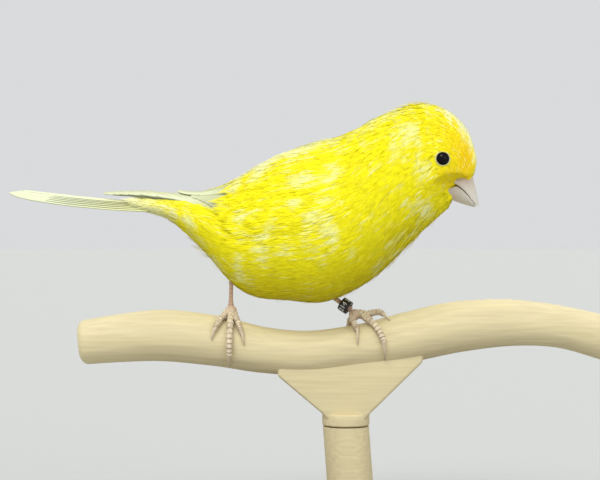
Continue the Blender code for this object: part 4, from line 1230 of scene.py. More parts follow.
@dataclass
class Skin:
    """The one skin under the feathers of trunk, neck and head."""

    body: BodyShape
    coat: Coat
    markings: Markings
    rings: int = 150
    sides: int = 96
    first_place: float = 2.0
    body_share: float = 0.55
    face_place: float = 19.0
    eye_reach: float = 3.4
    eye_fade: float = 1.2
    eye_share: float = 0.6
    bill_tuck: float = 0.9
    fade: float = 1.5
    frost_share: float = 0.6
    brightness: float = 0.92

    def spots(self, along: Array, around: Array) -> tuple[Array, Array]:
        """Places and degrees of the grid."""
        return self.first_place + (BILL_ROOT - self.first_place) * along, 360.0 * around

    def form(self, along: Array, around: Array) -> Array:
        """Points of the skin, inside the surface by the coat's depth."""
        place, degrees = self.spots(along, around)
        share = 1.0 - (1.0 - self.body_share) * ease((self.face_place - place) / self.fade)
        lift = -self.coat.depth(place) * share - self.body.pocket(place, degrees)
        points = self.body.point(place, degrees)
        bare = ease((self.eye_reach - self.coat.near_eye(points)) / self.eye_fade)
        tucked = self.bill_tuck * ease((self.body.bill_ahead(points) + self.fade) / self.fade)
        return self.body.point(place, degrees, lift * (1.0 - self.eye_share * bare) - tucked)

    def paint(self, along: Array, around: Array) -> Array:
        """Colours of the skin, close to the coat's but a little darker and less frosted."""
        spots = self.spots(along, around)
        frost = self.frost_share * self.markings.frost(*spots)[:, None]
        return self.brightness * blend(self.markings.ground(*spots), self.markings.frost_tone(*spots), frost)

    def build(self, material: bpy.types.Material) -> None:
        """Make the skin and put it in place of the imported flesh."""
        maker = MeshMaker("skin")
        maker.sheet(self.form, self.rings, self.sides, paint=self.paint)
        settle(maker.finish(), material, "plumage", "torso", "neck", "head")


@dataclass
class Eyes:
    """The two eyeballs and the lids round them."""

    body: BodyShape
    profile: Pair = (27.2, 105.1)
    radius: float = 2.1
    sunk: float = 1.15
    lid_radius: float = 1.88
    lid_tube: float = 0.27
    lid_beads: int = 26
    bead_height: float = 0.16
    lid_colour: Triple = (0.62, 0.60, 0.30)

    def frames(self) -> list[tuple[str, Array, Array]]:
        """Name, surface point and outward direction of each eye."""
        place, degrees = self.body.place_of(*self.profile)
        found = []
        for side, sign in SIDES:
            spot = np.array([place]), np.array([degrees * sign])
            found.append((side, self.body.point(*spot)[0], self.body.normal(*spot)[0]))
        return found

    def centres(self) -> Array:
        """Surface points of the two eyes in mm."""
        return np.array([point for _, point, _ in self.frames()])

    def build(self, eye: bpy.types.Material, lid: bpy.types.Material) -> None:
        """Make both eyeballs and both lids."""
        for side, point, outward in self.frames():
            turn = Vector(outward).to_track_quat("Z", "Y").to_matrix()
            globe = MeshMaker(f"eyeball_{side}")
            globe.ball(point - outward * self.sunk, (self.radius,) * 3, turn, 48)
            settle(globe.finish(), eye, "eye", f"eye_{side}")
            self.lid(side, point, outward, turn, lid)

    def lid(self, side: str, point: Array, outward: Array, turn: Matrix,
            material: bpy.types.Material) -> None:
        """Make the beaded lids of one eye."""
        basis = np.array(turn)
        rim_depth = self.sunk - math.sqrt(self.radius ** 2 - self.lid_radius ** 2) + 0.05
        centre = point - outward * rim_depth

        def form(along: Array, around: Array) -> Array:
            """Points of the lid's tube."""
            a, b = 2 * math.pi * along, 2 * math.pi * around
            bead = 1.0 + self.bead_height * np.sin(self.lid_beads * a) * (np.cos(b) > -0.3)
            tube = self.lid_tube * bead
            reach = self.lid_radius + tube * np.cos(b)
            local = np.stack([reach * np.cos(a), reach * np.sin(a) * 0.97, tube * 0.8 * np.sin(b)], axis=-1)
            return centre + local @ basis.T

        def paint(along: Array, around: Array) -> Array:
            """Pale grey-yellow lids."""
            return np.tile(self.lid_colour, (len(along), 1))

        maker = MeshMaker(f"eyelids_{side}")
        maker.sheet(form, 4 * self.lid_beads, 10, capped=False, paint=paint)
        bmesh.ops.remove_doubles(maker.shape, verts=maker.shape.verts, dist=1e-3)
        settle(maker.finish(), material, "plumage")


# The bill's halves from root to tip: ridge x, z, cutting edge x, z and half the width, in mm.
UPPER_BILL = (
    (34.3, 101.3, 28.1, 99.2, 3.7), (34.7, 99.8, 29.8, 98.6, 3.6), (35.2, 97.9, 31.3, 97.6, 3.2),
    (35.6, 96.0, 32.8, 96.2, 2.5), (36.0, 94.0, 34.2, 94.3, 1.6), (36.3, 92.4, 35.6, 92.6, 0.6),
)
LOWER_BILL = (
    (27.8, 94.8, 27.3, 96.9, 3.4), (28.9, 94.2, 28.8, 97.4, 3.35), (30.6, 93.5, 30.4, 97.85, 3.05),
    (32.2, 93.0, 32.15, 96.65, 2.5), (33.8, 92.5, 33.85, 94.65, 1.68), (35.1, 92.2, 35.3, 92.75, 0.7),
)


@dataclass
class Bill:
    """The short cone of the bill, in its two halves."""

    body: BodyShape
    rings: int = 40
    sides: int = 40
    outer_share: float = 0.82
    root_colour: Triple = (0.62, 0.49, 0.41)
    tip_colour: Triple = (0.64, 0.62, 0.54)

    def half(self, rows: Sequence[Sequence[float]], fullness: float, tuck: float,
             along: Array, around: Array) -> Array:
        """Points of one half of the bill.

        Args:
            rows: Ridge x, z, cutting edge x, z and half the width, root to tip.
            fullness: How quickly the side swells from the ridge; smaller is fuller.
            tuck: How far the cutting edge runs on inside, as a share of the side.
            along: How far from root to tip.
            around: How far round from the ridge.

        Returns:
            Points in mm.
        """
        data = curve(np.array(rows), along * (len(rows) - 1))
        ridge, edge, half = data[..., 0:2], data[..., 2:4], data[..., 4]
        side = np.sign(around - 0.5 + 1e-9)
        f = 1.0 - np.abs(2 * around - 1.0)
        outer = np.clip(f / self.outer_share, 0.0, 1.0)
        inner = np.clip((f - self.outer_share) / (1.0 - self.outer_share), 0.0, 1.0)
        across = half * np.sin(math.pi / 2 * outer) ** fullness * (1.0 - inner)
        profile = blend(ridge, edge, (outer + tuck * inner)[..., None])
        return self.body.turned(np.stack([profile[..., 0], across * side, profile[..., 1]], axis=-1))

    def paint(self, along: Array, around: Array) -> Array:
        """Pinkish horn at the root, pale grey-white at the tip."""
        return shades(self.root_colour, self.tip_colour, ease(along * 1.25))

    def build(self, material: bpy.types.Material) -> None:
        """Make both halves."""
        halves = (("upper", UPPER_BILL, 0.8, -0.25), ("lower", LOWER_BILL, 0.7, 0.12))
        for name, rows, fullness, tuck in halves:
            maker = MeshMaker(f"bill_{name}_half")
            maker.sheet(lambda a, b: self.half(rows, fullness, tuck, a, b), self.rings, self.sides,
                        paint=self.paint)
            settle(maker.finish(smooth_degrees=50.0), material, "horn", f"bill_{name}")


def vane_across(around: Array) -> Array:
    """How far across a vane each vertex lies, out on the upper face and back on the lower one."""
    return np.where(around < 0.5, around * 2.0, 2.0 - around * 2.0)


def vane_faces(along: Array, around: Array, thickness: float,
               shaft: Triple) -> Array:
    """Heights of a vane's two faces over its middle sheet.

    Args:
        along: How far from root to tip.
        around: How far round the vane's section.
        thickness: Its thickness in mm.
        shaft: The shaft's place across, its half width across and its height in mm.

    Returns:
        Heights in mm.
    """
    across = vane_across(around)
    face = thickness / 2 * np.sin(math.pi * np.clip(across, 0.0, 1.0)) ** 0.4
    middle, half, high = shaft
    ridge = high * np.exp(-((across - middle) / half) ** 2) * (1.0 - 0.6 * along)
    return np.where(around < 0.5, face + ridge, -face)


@dataclass(frozen=True)
class FeatherRow:
    """A row of wing feathers, from its lowest to its uppermost.

    Roots and tips are places along the bird and shares down the wing.
    """

    count: int
    root_low: Pair
    root_high: Pair
    tip_low: Pair
    tip_high: Pair
    width: float
    layer_low: float
    layer_high: float
    bunch: float = 1.0


# Primaries, secondaries, tertials and greater coverts.
WING_ROWS = (
    FeatherRow(8, (7.0, 0.90), (6.8, 0.62), (0.42, 0.66), (2.9, 0.34), 4.2, 0.0, 4.4, 1.5),
    FeatherRow(8, (8.5, 0.92), (8.3, 0.42), (5.6, 0.90), (3.9, 0.50), 3.6, 2.2, 5.8),
    FeatherRow(3, (8.2, 0.36), (8.0, 0.12), (4.4, 0.36), (3.0, 0.24), 4.4, 6.2, 7.8),
    FeatherRow(8, (9.3, 0.89), (9.1, 0.20), (7.0, 0.88), (6.3, 0.24), 5.0, 6.0, 8.4),
)
# Widths of a wing feather from root to tip, as shares of its full width.
LONG_VANE = (
    (0.0, 0.7), (0.2, 0.9), (0.42, 1.0), (0.63, 1.0), (0.84, 0.85), (0.93, 0.62), (0.98, 0.36), (1.0, 0.1),
)


@dataclass
class Wing:
    """One folded wing's flight feathers and greater coverts."""

    body: BodyShape
    side: float
    layer_step: float = 0.25
    sunk_layer: float = 2.6
    floor_gap: float = 0.15
    camber: float = 0.42
    thickness: float = 0.26
    shaft: Triple = (0.36, 0.07, 0.10)
    widest_degrees: float = 25.0
    margin_degrees: float = 5.0
    rings: int = 22
    sides: int = 16
    yellow: Triple = (0.90, 0.84, 0.08)
    white: Triple = (0.80, 0.83, 0.56)
    shadow: Triple = (0.36, 0.36, 0.13)

    def vane(self, row: FeatherRow, f: float) -> tuple[Shape, Paint]:
        """Shape and colour of one feather of a row.

        Args:
            row: The row.
            f: Where the feather lies in it, from 0 at the lowest to 1.

        Returns:
            The feather's shape and its colours.
        """
        root = blend(np.array(row.root_low), np.array(row.root_high), f)
        tip = blend(np.array(row.tip_low), np.array(row.tip_high), np.array([f ** row.bunch, f]))
        layer = blend(row.layer_low, row.layer_high, f)

        def form(along: Array, around: Array) -> Array:
            """Points of the vane: upper face, edge, lower face, edge."""
            place, share = blend(root[0], tip[0], along), blend(root[1], tip[1], along)
            top, bottom = wing_edges(place)
            middle = blend(top, bottom, share)
            reach = row.width / 2 * table(LONG_VANE, along) / self.body.degree_length(place, middle)
            reach = np.minimum(reach, self.widest_degrees)
            low = np.maximum(middle - reach, top + self.margin_degrees)
            high = np.minimum(middle + reach, bottom - self.margin_degrees)
            across = vane_across(around)
            here = min(layer, self.sunk_layer) + max(layer - self.sunk_layer, 0.0) * ease(along * 1.6)
            lift = table(WING_FLOORS, place) + here * self.layer_step + self.floor_gap
            lift = lift + self.camber * np.sin(math.pi * across)
            lift = lift + vane_faces(along, around, self.thickness, self.shaft)
            return self.body.point(place, self.side * blend(low, high, across), lift)

        def paint(along: Array, around: Array) -> Array:
            """Yellow towards the root, whitish at the edges and the tip, dark under the next feather."""
            across = vane_across(around)
            rim = np.clip(np.abs(across - self.shaft[0]) * 1.7, 0.0, 1.0)
            pale = np.clip(0.25 + 0.75 * ease(along * 1.1) + 0.25 * rim, 0.0, 1.0)
            under = ease((0.92 - across) / 0.45) * (1.0 - 0.3 * along)
            return blend(shades(self.yellow, self.white, pale), np.array(self.shadow), (0.9 * under)[:, None])

        return form, paint

    def build(self, name: str, material: bpy.types.Material, *nodes: str) -> None:
        """Make the wing's feathers as one piece."""
        maker = MeshMaker(name)
        for row in WING_ROWS:
            for index in range(row.count):
                form, paint = self.vane(row, index / (row.count - 1))
                maker.sheet(form, self.rings, self.sides, paint=paint)
        settle(maker.finish(smooth_degrees=50.0), material, "pale_plumage", *nodes)


@dataclass
class Tail:
    """The twelve tail feathers, spread a little and forked."""

    body: BodyShape
    pairs: int = 6
    root_x: float = -54.0
    tip_x: float = -94.0
    fork: float = 3.2
    root_z: float = 93.6
    tip_z: float = 97.3
    root_spread: Pair = (0.9, 2.45)
    tip_spread: Pair = (1.2, 4.7)
    root_drop: float = 1.7
    tip_drop: float = 0.7
    width: float = 4.4
    roll_degrees: float = 9.0
    outer_roll: float = 30.0
    sag: float = 1.4
    thickness: float = 0.4
    shaft: Triple = (0.55, 0.06, 0.12)
    camber: float = 0.12
    rings: int = 34
    sides: int = 14
    yellow: Triple = (0.86, 0.84, 0.34)
    white: Triple = (0.78, 0.82, 0.56)
    profile: tuple[Pair, ...] = (
        (0.0, 0.5), (0.3, 0.85), (0.62, 1.0), (0.86, 0.86), (0.94, 0.62), (0.98, 0.36), (1.0, 0.12))

    def vane(self, side: float, order: int) -> tuple[Shape, Paint]:
        """Shape and colour of one tail feather.

        Args:
            side: -1 on the near side, 1 on the far one.
            order: From the middle pair outwards.

        Returns:
            The feather's shape and its colours.
        """
        f = order / (self.pairs - 1)
        root = np.array([self.root_x, blend(*self.root_spread, f), self.root_z - self.root_drop * f])
        tip = np.array([self.tip_x - self.fork * f ** 0.7, blend(*self.tip_spread, f),
                        self.tip_z - self.tip_drop * f])
        roll = math.radians(self.roll_degrees + self.outer_roll * f ** 2)

        def form(along: Array, around: Array) -> Array:
            """Points of the vane."""
            across = vane_across(around)
            middle = blend(root, tip, along[:, None])
            middle[:, 2] = blend(root[2], tip[2], along ** self.sag)
            offset = (across - 0.5) * self.width * table(self.profile, along)
            high = vane_faces(along, around, self.thickness, self.shaft)
            high = high + self.camber * np.sin(math.pi * across)
            y = middle[:, 1] + offset * math.cos(roll) + high * math.sin(roll)
            z = middle[:, 2] - offset * math.sin(roll) + high * math.cos(roll)
            return self.body.turned(np.stack([middle[:, 0], y * side, z], axis=-1))

        def paint(along: Array, around: Array) -> Array:
            """Pale whitish yellow, yellower at the root."""
            return shades(self.yellow, self.white, np.clip(ease(along * 1.4) * 0.8 + 0.25, 0.0, 1.0))

        return form, paint

    def build(self, material: bpy.types.Material) -> None:
        """Make the tail's feathers as one piece."""
        maker = MeshMaker("tail_feathers")
        for order in range(self.pairs):
            for _, side in SIDES:
                form, paint = self.vane(side, order)
                maker.sheet(form, self.rings, self.sides, paint=paint)
        settle(maker.finish(smooth_degrees=50.0), material, "pale_plumage", "tail")


PERCH_BEIGE = (0.77, 0.68, 0.41)
# The bar from left to right: x, height of its middle and radius, in mm.
PERCH_ROWS = (
    (-75.3, 54.4, 6.1), (-62.0, 55.9, 6.8), (-51.0, 56.4, 7.2), (-36.7, 54.9, 7.0),
    (-24.0, 52.4, 6.4), (-11.0, 51.6, 6.2), (4.0, 53.5, 6.3), (16.0, 55.9, 7.0),
    (30.0, 58.8, 7.05), (45.0, 60.0, 6.5), (59.0, 58.9, 5.85), (73.5, 55.4, 6.3),
)


@dataclass
class Perch:
    """The bent bar, the web under it and the stem.

    Grain, roughness and streaks each have a scale along the bar and one round it.
    """

    rings: int = 400
    sides: int = 80
    end_round: float = 1.8
    end_share: float = 0.03
    grain_height: float = 0.07
    rough_height: float = 0.42
    rough_width: float = 0.045
    grain: Pair = (0.05, 4.0)
    roughness: Pair = (1.1, 9.0)
    streaks: Pair = (9.0, 6.0)
    streak_strength: float = 0.10
    worn_right: Pair = (18.0, 66.0)
    worn_left: float = -52.0
    web_left: Pair = (-19.9, 45.4)
    web_right: Pair = (20.4, 49.3)
    web_bottom: float = 31.4
    web_thickness: float = 9.0
    web_foot: float = 4.6
    collar_height: float = 3.4
    collar_edge: float = 0.15
    stem_radius: float = 6.45
    stem_top_x: float = -0.85
    stem_foot_x: float = 0.85
    stem_foot_z: float = 8.3

    @staticmethod
    def spot(x: Array) -> tuple[Array, Array]:
        """Height of the bar's middle and its radius at each x."""
        rows = np.array(PERCH_ROWS)
        data = curve(rows, np.interp(x, rows[:, 0], np.arange(len(rows))))
        return data[..., 1], data[..., 2]

    def form(self, along: Array, around: Array) -> Array:
        """Points of the bar, with its rounded left end, grain and roughened top."""
        first, last = PERCH_ROWS[0][0], PERCH_ROWS[-1][0]
        lead = np.clip(along / self.end_share, 0.0, 1.0)
        turn = lead * math.pi / 2
        beyond = (along - self.end_share) / (1.0 - self.end_share)
        x = first + self.end_round + np.where(
            along < self.end_share, -self.end_round * np.cos(turn), (last - first - self.end_round) * beyond)
        z, radius = self.spot(x)
        a = 2 * math.pi * around
        grain = bumps(x * self.grain[0], np.sin(a) * self.grain[1], np.cos(a) * self.grain[1])
        rough = np.clip(bumps(x * self.roughness[0], np.sin(a) * self.roughness[1], 3.0), -0.3, 1.0)
        top = np.exp(-(np.minimum(around, 1.0 - around) / self.rough_width) ** 2)
        start, end = self.worn_right
        worn = ease((x - start) / 8.0) * ease((end - x) / 8.0) + 0.35 * ease((self.worn_left - x) / 6.0)
        radius = radius - self.end_round * (1.0 - np.sin(turn))
        radius = radius + self.grain_height * grain * lead + self.rough_height * rough * top * worn
        slope = (self.spot(x + 0.05)[0] - self.spot(x - 0.05)[0]) / 0.1
        up = radius * np.cos(a) / np.hypot(1.0, slope)
        return np.stack([x - up * slope, -radius * np.sin(a), z + up], axis=-1)

    def paint(self, along: Array, around: Array) -> Array:
        """Pale beige, a little darker along fine streaks."""
        a = NOISE_TURN * around
        fine, wide = self.streaks
        streak = bumps(along * fine, np.sin(a) * wide, np.cos(a) * wide)
        return np.array(PERCH_BEIGE) * (1.0 + self.streak_strength * streak)[:, None]

    def web(self) -> MeshMaker:
        """The flat web and its collar."""
        maker = MeshMaker("web_plate")
        shape, half, foot = maker.shape, self.stem_radius, self.web_foot
        left_z, right_z = self.spot(np.array((self.web_left[0], self.web_right[0])))[0]
        neck_z, foot_z = self.web_bottom + self.collar_height, self.web_bottom + 1.0
        outline = ((self.web_left[0], left_z), self.web_left, (self.stem_top_x - half, neck_z),
                   (self.stem_top_x - foot, foot_z), (self.stem_top_x + foot, foot_z),
                   (self.stem_top_x + half, neck_z), self.web_right, (self.web_right[0], right_z))
        corners = [shape.verts.new((x, -self.web_thickness / 2, z)) for x, z in outline]
        face = shape.faces.new(corners)
        grown = bmesh.ops.extrude_face_region(shape, geom=[face])
        moved = [item for item in grown["geom"] if isinstance(item, bmesh.types.BMVert)]
        bmesh.ops.translate(shape, vec=(0.0, self.web_thickness, 0.0), verts=moved)
        maker.round_edges(shape.edges, 0.8)
        collar = maker.cylinder(half + self.collar_edge, self.collar_height)
        middle = (self.stem_top_x, 0.0, self.web_bottom + self.collar_height / 2)
        bmesh.ops.translate(shape, vec=middle, verts=collar)
        rims = {edge for vert in collar for edge in vert.link_edges
                if abs(edge.verts[0].co.z - edge.verts[1].co.z) < NEAR}
        maker.round_edges(list(rims), 0.5)
        maker.paint_all(PERCH_BEIGE)
        return maker

    def stem(self) -> MeshMaker:
        """The round stem, which leans a little."""
        maker = MeshMaker("stem")
        top = self.web_bottom - 0.3
        for vert in maker.cylinder(self.stem_radius, top - self.stem_foot_z):
            vert.co.x += self.stem_top_x if vert.co.z > 0 else self.stem_foot_x
            vert.co.z += (top + self.stem_foot_z) / 2
        maker.paint_all(PERCH_BEIGE)
        return maker

    def build(self, material: bpy.types.Material) -> None:
        """Make the bar, the web and the stem."""
        bar = MeshMaker("bar")
        bar.sheet(self.form, self.rings, self.sides, paint=self.paint)
        for maker, node in ((bar, "perch_bar"), (self.web(), "perch_web"), (self.stem(), "stand_rod")):
            settle(maker.finish(smooth_degrees=40.0), material, "perch_wood", node)


# Each toe: x, degrees round the bar, clear of its skin and radius, the last stretch its claw.
TOES = {
    "right": {
        "pad": (-33.0, -0.8, 63.4),
        "middle": ((-33.0, 4, 2.0, 1.1), (-33.0, 42, 1.3, 0.98), (-33.1, 80, 1.15, 0.92),
                   (-33.2, 110, 1.05, 0.78), (-33.3, 118, 1.0, 0.5), (-33.3, 150, 0.45, 0.13)),
        "outer": ((-33.8, 4, 2.0, 1.0), (-35.1, 26, 1.3, 0.9), (-36.5, 50, 1.15, 0.82),
                  (-37.2, 62, 1.0, 0.7), (-37.5, 68, 0.95, 0.46), (-38.1, 86, 0.4, 0.13)),
        "inner": ((-32.2, 4, 2.0, 1.0), (-31.4, 24, 1.3, 0.9), (-30.4, 46, 1.15, 0.82),
                  (-29.8, 58, 1.0, 0.7), (-29.6, 63, 0.95, 0.46), (-29.1, 84, 0.4, 0.13)),
        "hind": ((-33.0, 4, 2.2, 1.15), (-33.1, -30, 1.35, 1.05), (-33.2, -62, 1.2, 0.98),
                 (-33.2, -78, 1.1, 0.8), (-33.2, -85, 1.05, 0.52), (-33.1, -128, 0.45, 0.13)),
    },
    "left": {
        "pad": (1.6, -0.4, 62.3),
        "middle": ((2.0, 0, 3.3, 1.1), (4.9, 20, 1.9, 1.0), (7.7, 54, 1.2, 0.95),
                   (9.2, 82, 1.1, 0.82), (9.4, 92, 1.05, 0.52), (9.9, 134, 0.45, 0.13)),
        "outer": ((2.2, 0, 3.4, 1.0), (5.4, 8, 2.5, 0.92), (8.0, 10, 2.5, 0.86),
                  (9.6, 16, 1.6, 0.72), (10.0, 19, 1.3, 0.48), (11.3, 34, 0.4, 0.13)),
        "inner": ((1.3, 0, 3.2, 1.0), (1.0, 18, 2.2, 0.92), (1.7, 36, 1.3, 0.82),
                  (2.1, 46, 1.1, 0.68), (2.2, 52, 1.0, 0.46), (2.2, 82, 0.4, 0.13)),
        "hind": ((1.5, -4, 3.2, 1.15), (0.6, -30, 1.8, 1.05), (0.0, -58, 1.3, 0.98),
                 (-0.2, -76, 1.15, 0.8), (-0.2, -83, 1.1, 0.52), (0.0, -126, 0.45, 0.13)),
    },
}
# Each shank from the foot up: x, y, z and radius, in mm.
SHANKS = {
    "right": ((-33.0, -0.9, 64.9, 0.82), (-33.0, -1.2, 66.6, 0.6), (-32.9, -1.9, 70.0, 0.56),
              (-32.7, -2.8, 74.5, 0.8), (-32.4, -3.6, 78.5, 1.2)),
    "left": ((0.6, 0.3, 63.7, 0.8), (-1.2, 0.9, 64.9, 0.64), (-3.6, 1.8, 66.6, 0.68),
             (-6.6, 3.0, 69.2, 0.85), (-9.6, 4.2, 72.2, 1.2)),
}


def outward_share(around: Array) -> Array:
    """How far each vertex of a limb faces outwards, from 0 on its inner side to 1."""
    return 0.5 + 0.5 * np.cos(2 * math.pi * around)


@dataclass
class Foot:
    """One leg's bare shank, its pad and its four toes with their claws.

    Grain and mottle each have a scale along a toe, in scutes, and one round it.
    """

    side: str
    scutes: int = 11
    shank_scutes: int = 12
    sides: int = 24
    claw_row: float = 3.0
    rise: float = 0.3
    roughness: float = 0.2
    claw_roughness: float = 0.05
    grain: Pair = (1.7, 1.4)
    mottle: Pair = (1.1, 1.8)
    pad_height: float = 0.08
    narrowing: float = 0.12
    shank_rise: float = 0.12
    pad_radii: Triple = (1.66, 1.75, 1.58)
    pad_colour: Triple = (0.62, 0.47, 0.34)
    joint_colour: Triple = (0.40, 0.27, 0.19)
    scute_colour: Triple = (0.74, 0.66, 0.47)
    claw_colour: Triple = (0.66, 0.57, 0.40)
    shank_colour: Triple = (0.52, 0.35, 0.24)

    @staticmethod
    def on_perch(rows: Array) -> Array:
        """Points at given distances from the bar's skin."""
        z, radius = Perch.spot(rows[..., 0])
        a = np.radians(rows[..., 1])
        reach = radius + rows[..., 2]
        return np.stack([rows[..., 0], -reach * np.sin(a), z + reach * np.cos(a)], axis=-1)

    @staticmethod
    def ring(spot: Callable[[Array], Array], place: Array, radii: Array, around: Array,
             outward: Array) -> Array:
        """Points round a limb.

        Args:
            spot: Gives the limb's middle at each place.
            place: Place of each vertex along the limb.
            radii: Radius at each vertex.
            around: How far round each vertex is, starting at the outward side.
            outward: Direction that counts as outward for each vertex.

        Returns:
            Points in mm.
        """
        ahead = unit(spot(place + STEP) - spot(place - STEP))
        side = unit(outward - ahead * np.sum(outward * ahead, axis=-1, keepdims=True))
        other = np.cross(ahead, side)
        a = (2 * math.pi * around)[:, None]
        return spot(place) + radii[:, None] * (side * np.cos(a) + other * np.sin(a))

    def toe(self, maker: MeshMaker, rows: Sequence[Sequence[float]]) -> None:
        """Add one toe with overlapping scutes on its upper side, and its claw."""
        data = np.array(rows, float)
        last = len(rows) - 1.0

        def spot(place: Array) -> Array:
            """The toe's middle line."""
            return self.on_perch(curve(data, place))

        def form(along: Array, around: Array) -> Array:
            """Points of the toe."""
            place = along * last
            radius = np.maximum(curve(data, place)[..., 3], 0.05)
            count = place / self.claw_row * self.scutes
            a = NOISE_TURN * around
            upper = outward_share(around)
            fine, wide = self.grain
            rough = bumps(count * fine, np.cos(a) * wide, np.sin(a) * wide + rows[0][0])
            flake = self.rise * ((count % 1.0) ** 0.7 - 0.5) * upper ** 0.5 * (1.0 + 1.6 * rough)
            pads = self.pad_height * np.sin(2 * math.pi * place * 1.2) * (1 - upper)
            swell = np.where(place < self.claw_row, flake + self.roughness * rough + pads,
                             self.claw_roughness * rough)
            centre = spot(place)
            middle = np.stack([centre[:, 0], np.zeros(len(centre)), Perch.spot(centre[:, 0])[0]], axis=-1)
            narrow = 1.0 - self.narrowing * np.abs(np.sin(2 * math.pi * around))
            return self.ring(spot, place, radius * (1.0 + swell) * narrow, around, centre - middle)

        def paint(along: Array, around: Array) -> Array:
            """Creamy scutes with darker joints, and a horn-coloured claw."""
            place = along * last
            count = place / self.claw_row * self.scutes
            a = NOISE_TURN * around
            fine, wide = self.mottle
            spots = bumps(count * fine, np.cos(a) * wide, np.sin(a) * wide)
            cream = ease(count % 1.0 * 2.4 + 0.1) * outward_share(around) ** 0.5
            toe = shades(self.joint_colour, self.scute_colour, cream) * (1.0 + 0.35 * spots)[:, None]
            darker = 1.0 - 0.35 * ease((place - last + 0.8) / 0.8)
            claw = np.array(self.claw_colour) * darker[:, None]
            return np.where((place > self.claw_row + 0.3)[:, None], claw, toe)

        maker.sheet(form, 130, self.sides, paint=paint)

    def shank(self, maker: MeshMaker) -> None:
        """Add the bare shank up into the feathers."""
        data = np.array(SHANKS[self.side], float)
        last = len(data) - 1.0

        def spot(place: Array) -> Array:
            """The shank's middle line."""
            return curve(data, place)[..., :3]

        def form(along: Array, around: Array) -> Array:
            """Points of the shank."""
            place = along * last
            step = along * self.shank_scutes % 1.0
            swell = 1.0 + self.shank_rise * (0.5 - step) * outward_share(around)
            outward = np.tile((0.3, -1.0, 0.1), (len(place), 1))
            return self.ring(spot, place, curve(data, place)[..., 3] * swell, around, outward)

        def paint(along: Array, around: Array) -> Array:
            """Pinkish brown, darker in the joints."""
            step = along * self.shank_scutes % 1.0
            return np.array(self.shank_colour) * (0.75 + 0.35 * ease((1.0 - step) * 1.5))[:, None]

        maker.sheet(form, 90, self.sides, paint=paint)

    def build(self, material: bpy.types.Material) -> None:
        """Make the shank and the foot."""
        leg = MeshMaker(f"shank_{self.side}")
        self.shank(leg)
        settle(leg.finish(smooth_degrees=60.0), material, "leg_skin", f"leg_{self.side}")
        toes = dict(TOES[self.side])
        pad = toes.pop("pad")
        foot = MeshMaker(f"toes_{self.side}")
        foot.ball(pad, self.pad_radii, None, 28, self.pad_colour)
        for rows in toes.values():
            self.toe(foot, rows)
        settle(foot.finish(smooth_degrees=60.0), material, "leg_skin", f"foot_{self.side}")


@dataclass
class LegRing:
    """The closed band on the left shank, with plain numbers."""

    outer: float = 1.95
    inner: float = 1.12
    length: float = 2.7
    start: float = 0.62
    rounding: float = 0.12
    upper_place: float = 16.0 / 11.0
    numbers: str = "7 214 36"
    number_size: float = 2.0
    number_depth: float = 0.05
    number_sunk: float = 0.01
    number_side: Triple = (-0.35, -1.0, 0.15)

    def build(self, band: bpy.types.Material, ink: bpy.types.Material) -> None:
        """Make the band and its numbers."""
        data = np.array(SHANKS["left"], float)
        foot, ahead = curve(data, np.array(0.0))[:3], curve(data, np.array(self.upper_place))[:3]
        direction = Vector(ahead - foot).normalized()
        turn = direction.to_track_quat("Z", "Y").to_matrix().to_4x4()
        placed = Matrix.Translation(Vector(foot) + direction * self.start) @ turn
        maker = MeshMaker("band_ring")
        shape = maker.shape
        profile = ((self.inner, 0.0), (self.outer, 0.0), (self.outer, self.length), (self.inner, self.length))
        corners = [shape.verts.new((r, 0.0, h)) for r, h in profile]
        edges = [shape.edges.new((corners[i], corners[(i + 1) % 4])) for i in range(4)]
        bmesh.ops.spin(shape, geom=corners + edges, cent=(0, 0, 0), axis=(0, 0, 1), angle=2 * math.pi,
                       steps=64, use_merge=True)
        bmesh.ops.remove_doubles(shape, verts=shape.verts, dist=NEAR)
        rims = [edge for edge in shape.edges
                if abs(edge.verts[0].co.z - edge.verts[1].co.z) < NEAR
                and abs(edge.verts[0].co.xy.length - edge.verts[1].co.xy.length) < NEAR]
        maker.round_edges(rims, self.rounding, 3)
        bmesh.ops.transform(shape, matrix=placed, verts=shape.verts)
        settle(maker.finish(smooth_degrees=40.0), band, "band", "leg_ring")
        self.number(placed, ink)

    def number(self, placed: Matrix, ink: bpy.types.Material) -> None:
        """Wrap plain numbers round the band."""
        text = bpy.data.curves.new("ring_numbers", "FONT")
        text.body = self.numbers
        text.size = self.number_size
        text.extrude = self.number_depth
        text.align_x = "CENTER"
        text.align_y = "CENTER"
        holder = linked("ring_numbers", text)
        bpy.context.view_layer.update()
        mesh = bpy.data.meshes.new_from_object(holder.evaluated_get(bpy.context.evaluated_depsgraph_get()))
        bpy.data.objects.remove(holder)
        shape = bmesh.new()
        shape.from_mesh(mesh)
        bmesh.ops.remove_doubles(shape, verts=shape.verts, dist=NEAR)
        shown = placed.to_3x3().inverted() @ Vector(self.number_side)
        middle = math.atan2(shown.y, shown.x)
        for vert in shape.verts:
            reach = self.outer + vert.co.z - self.number_sunk
            a = vert.co.x / self.outer + middle
            vert.co = (reach * math.cos(a), reach * math.sin(a), self.length / 2 + vert.co.y)
        bmesh.ops.recalc_face_normals(shape, faces=shape.faces)
        shape.transform(Matrix.Scale(MM, 4) @ placed)
        shape.to_mesh(mesh)
        shape.free()
        settle(linked("ring_numbers", mesh), ink, "band")


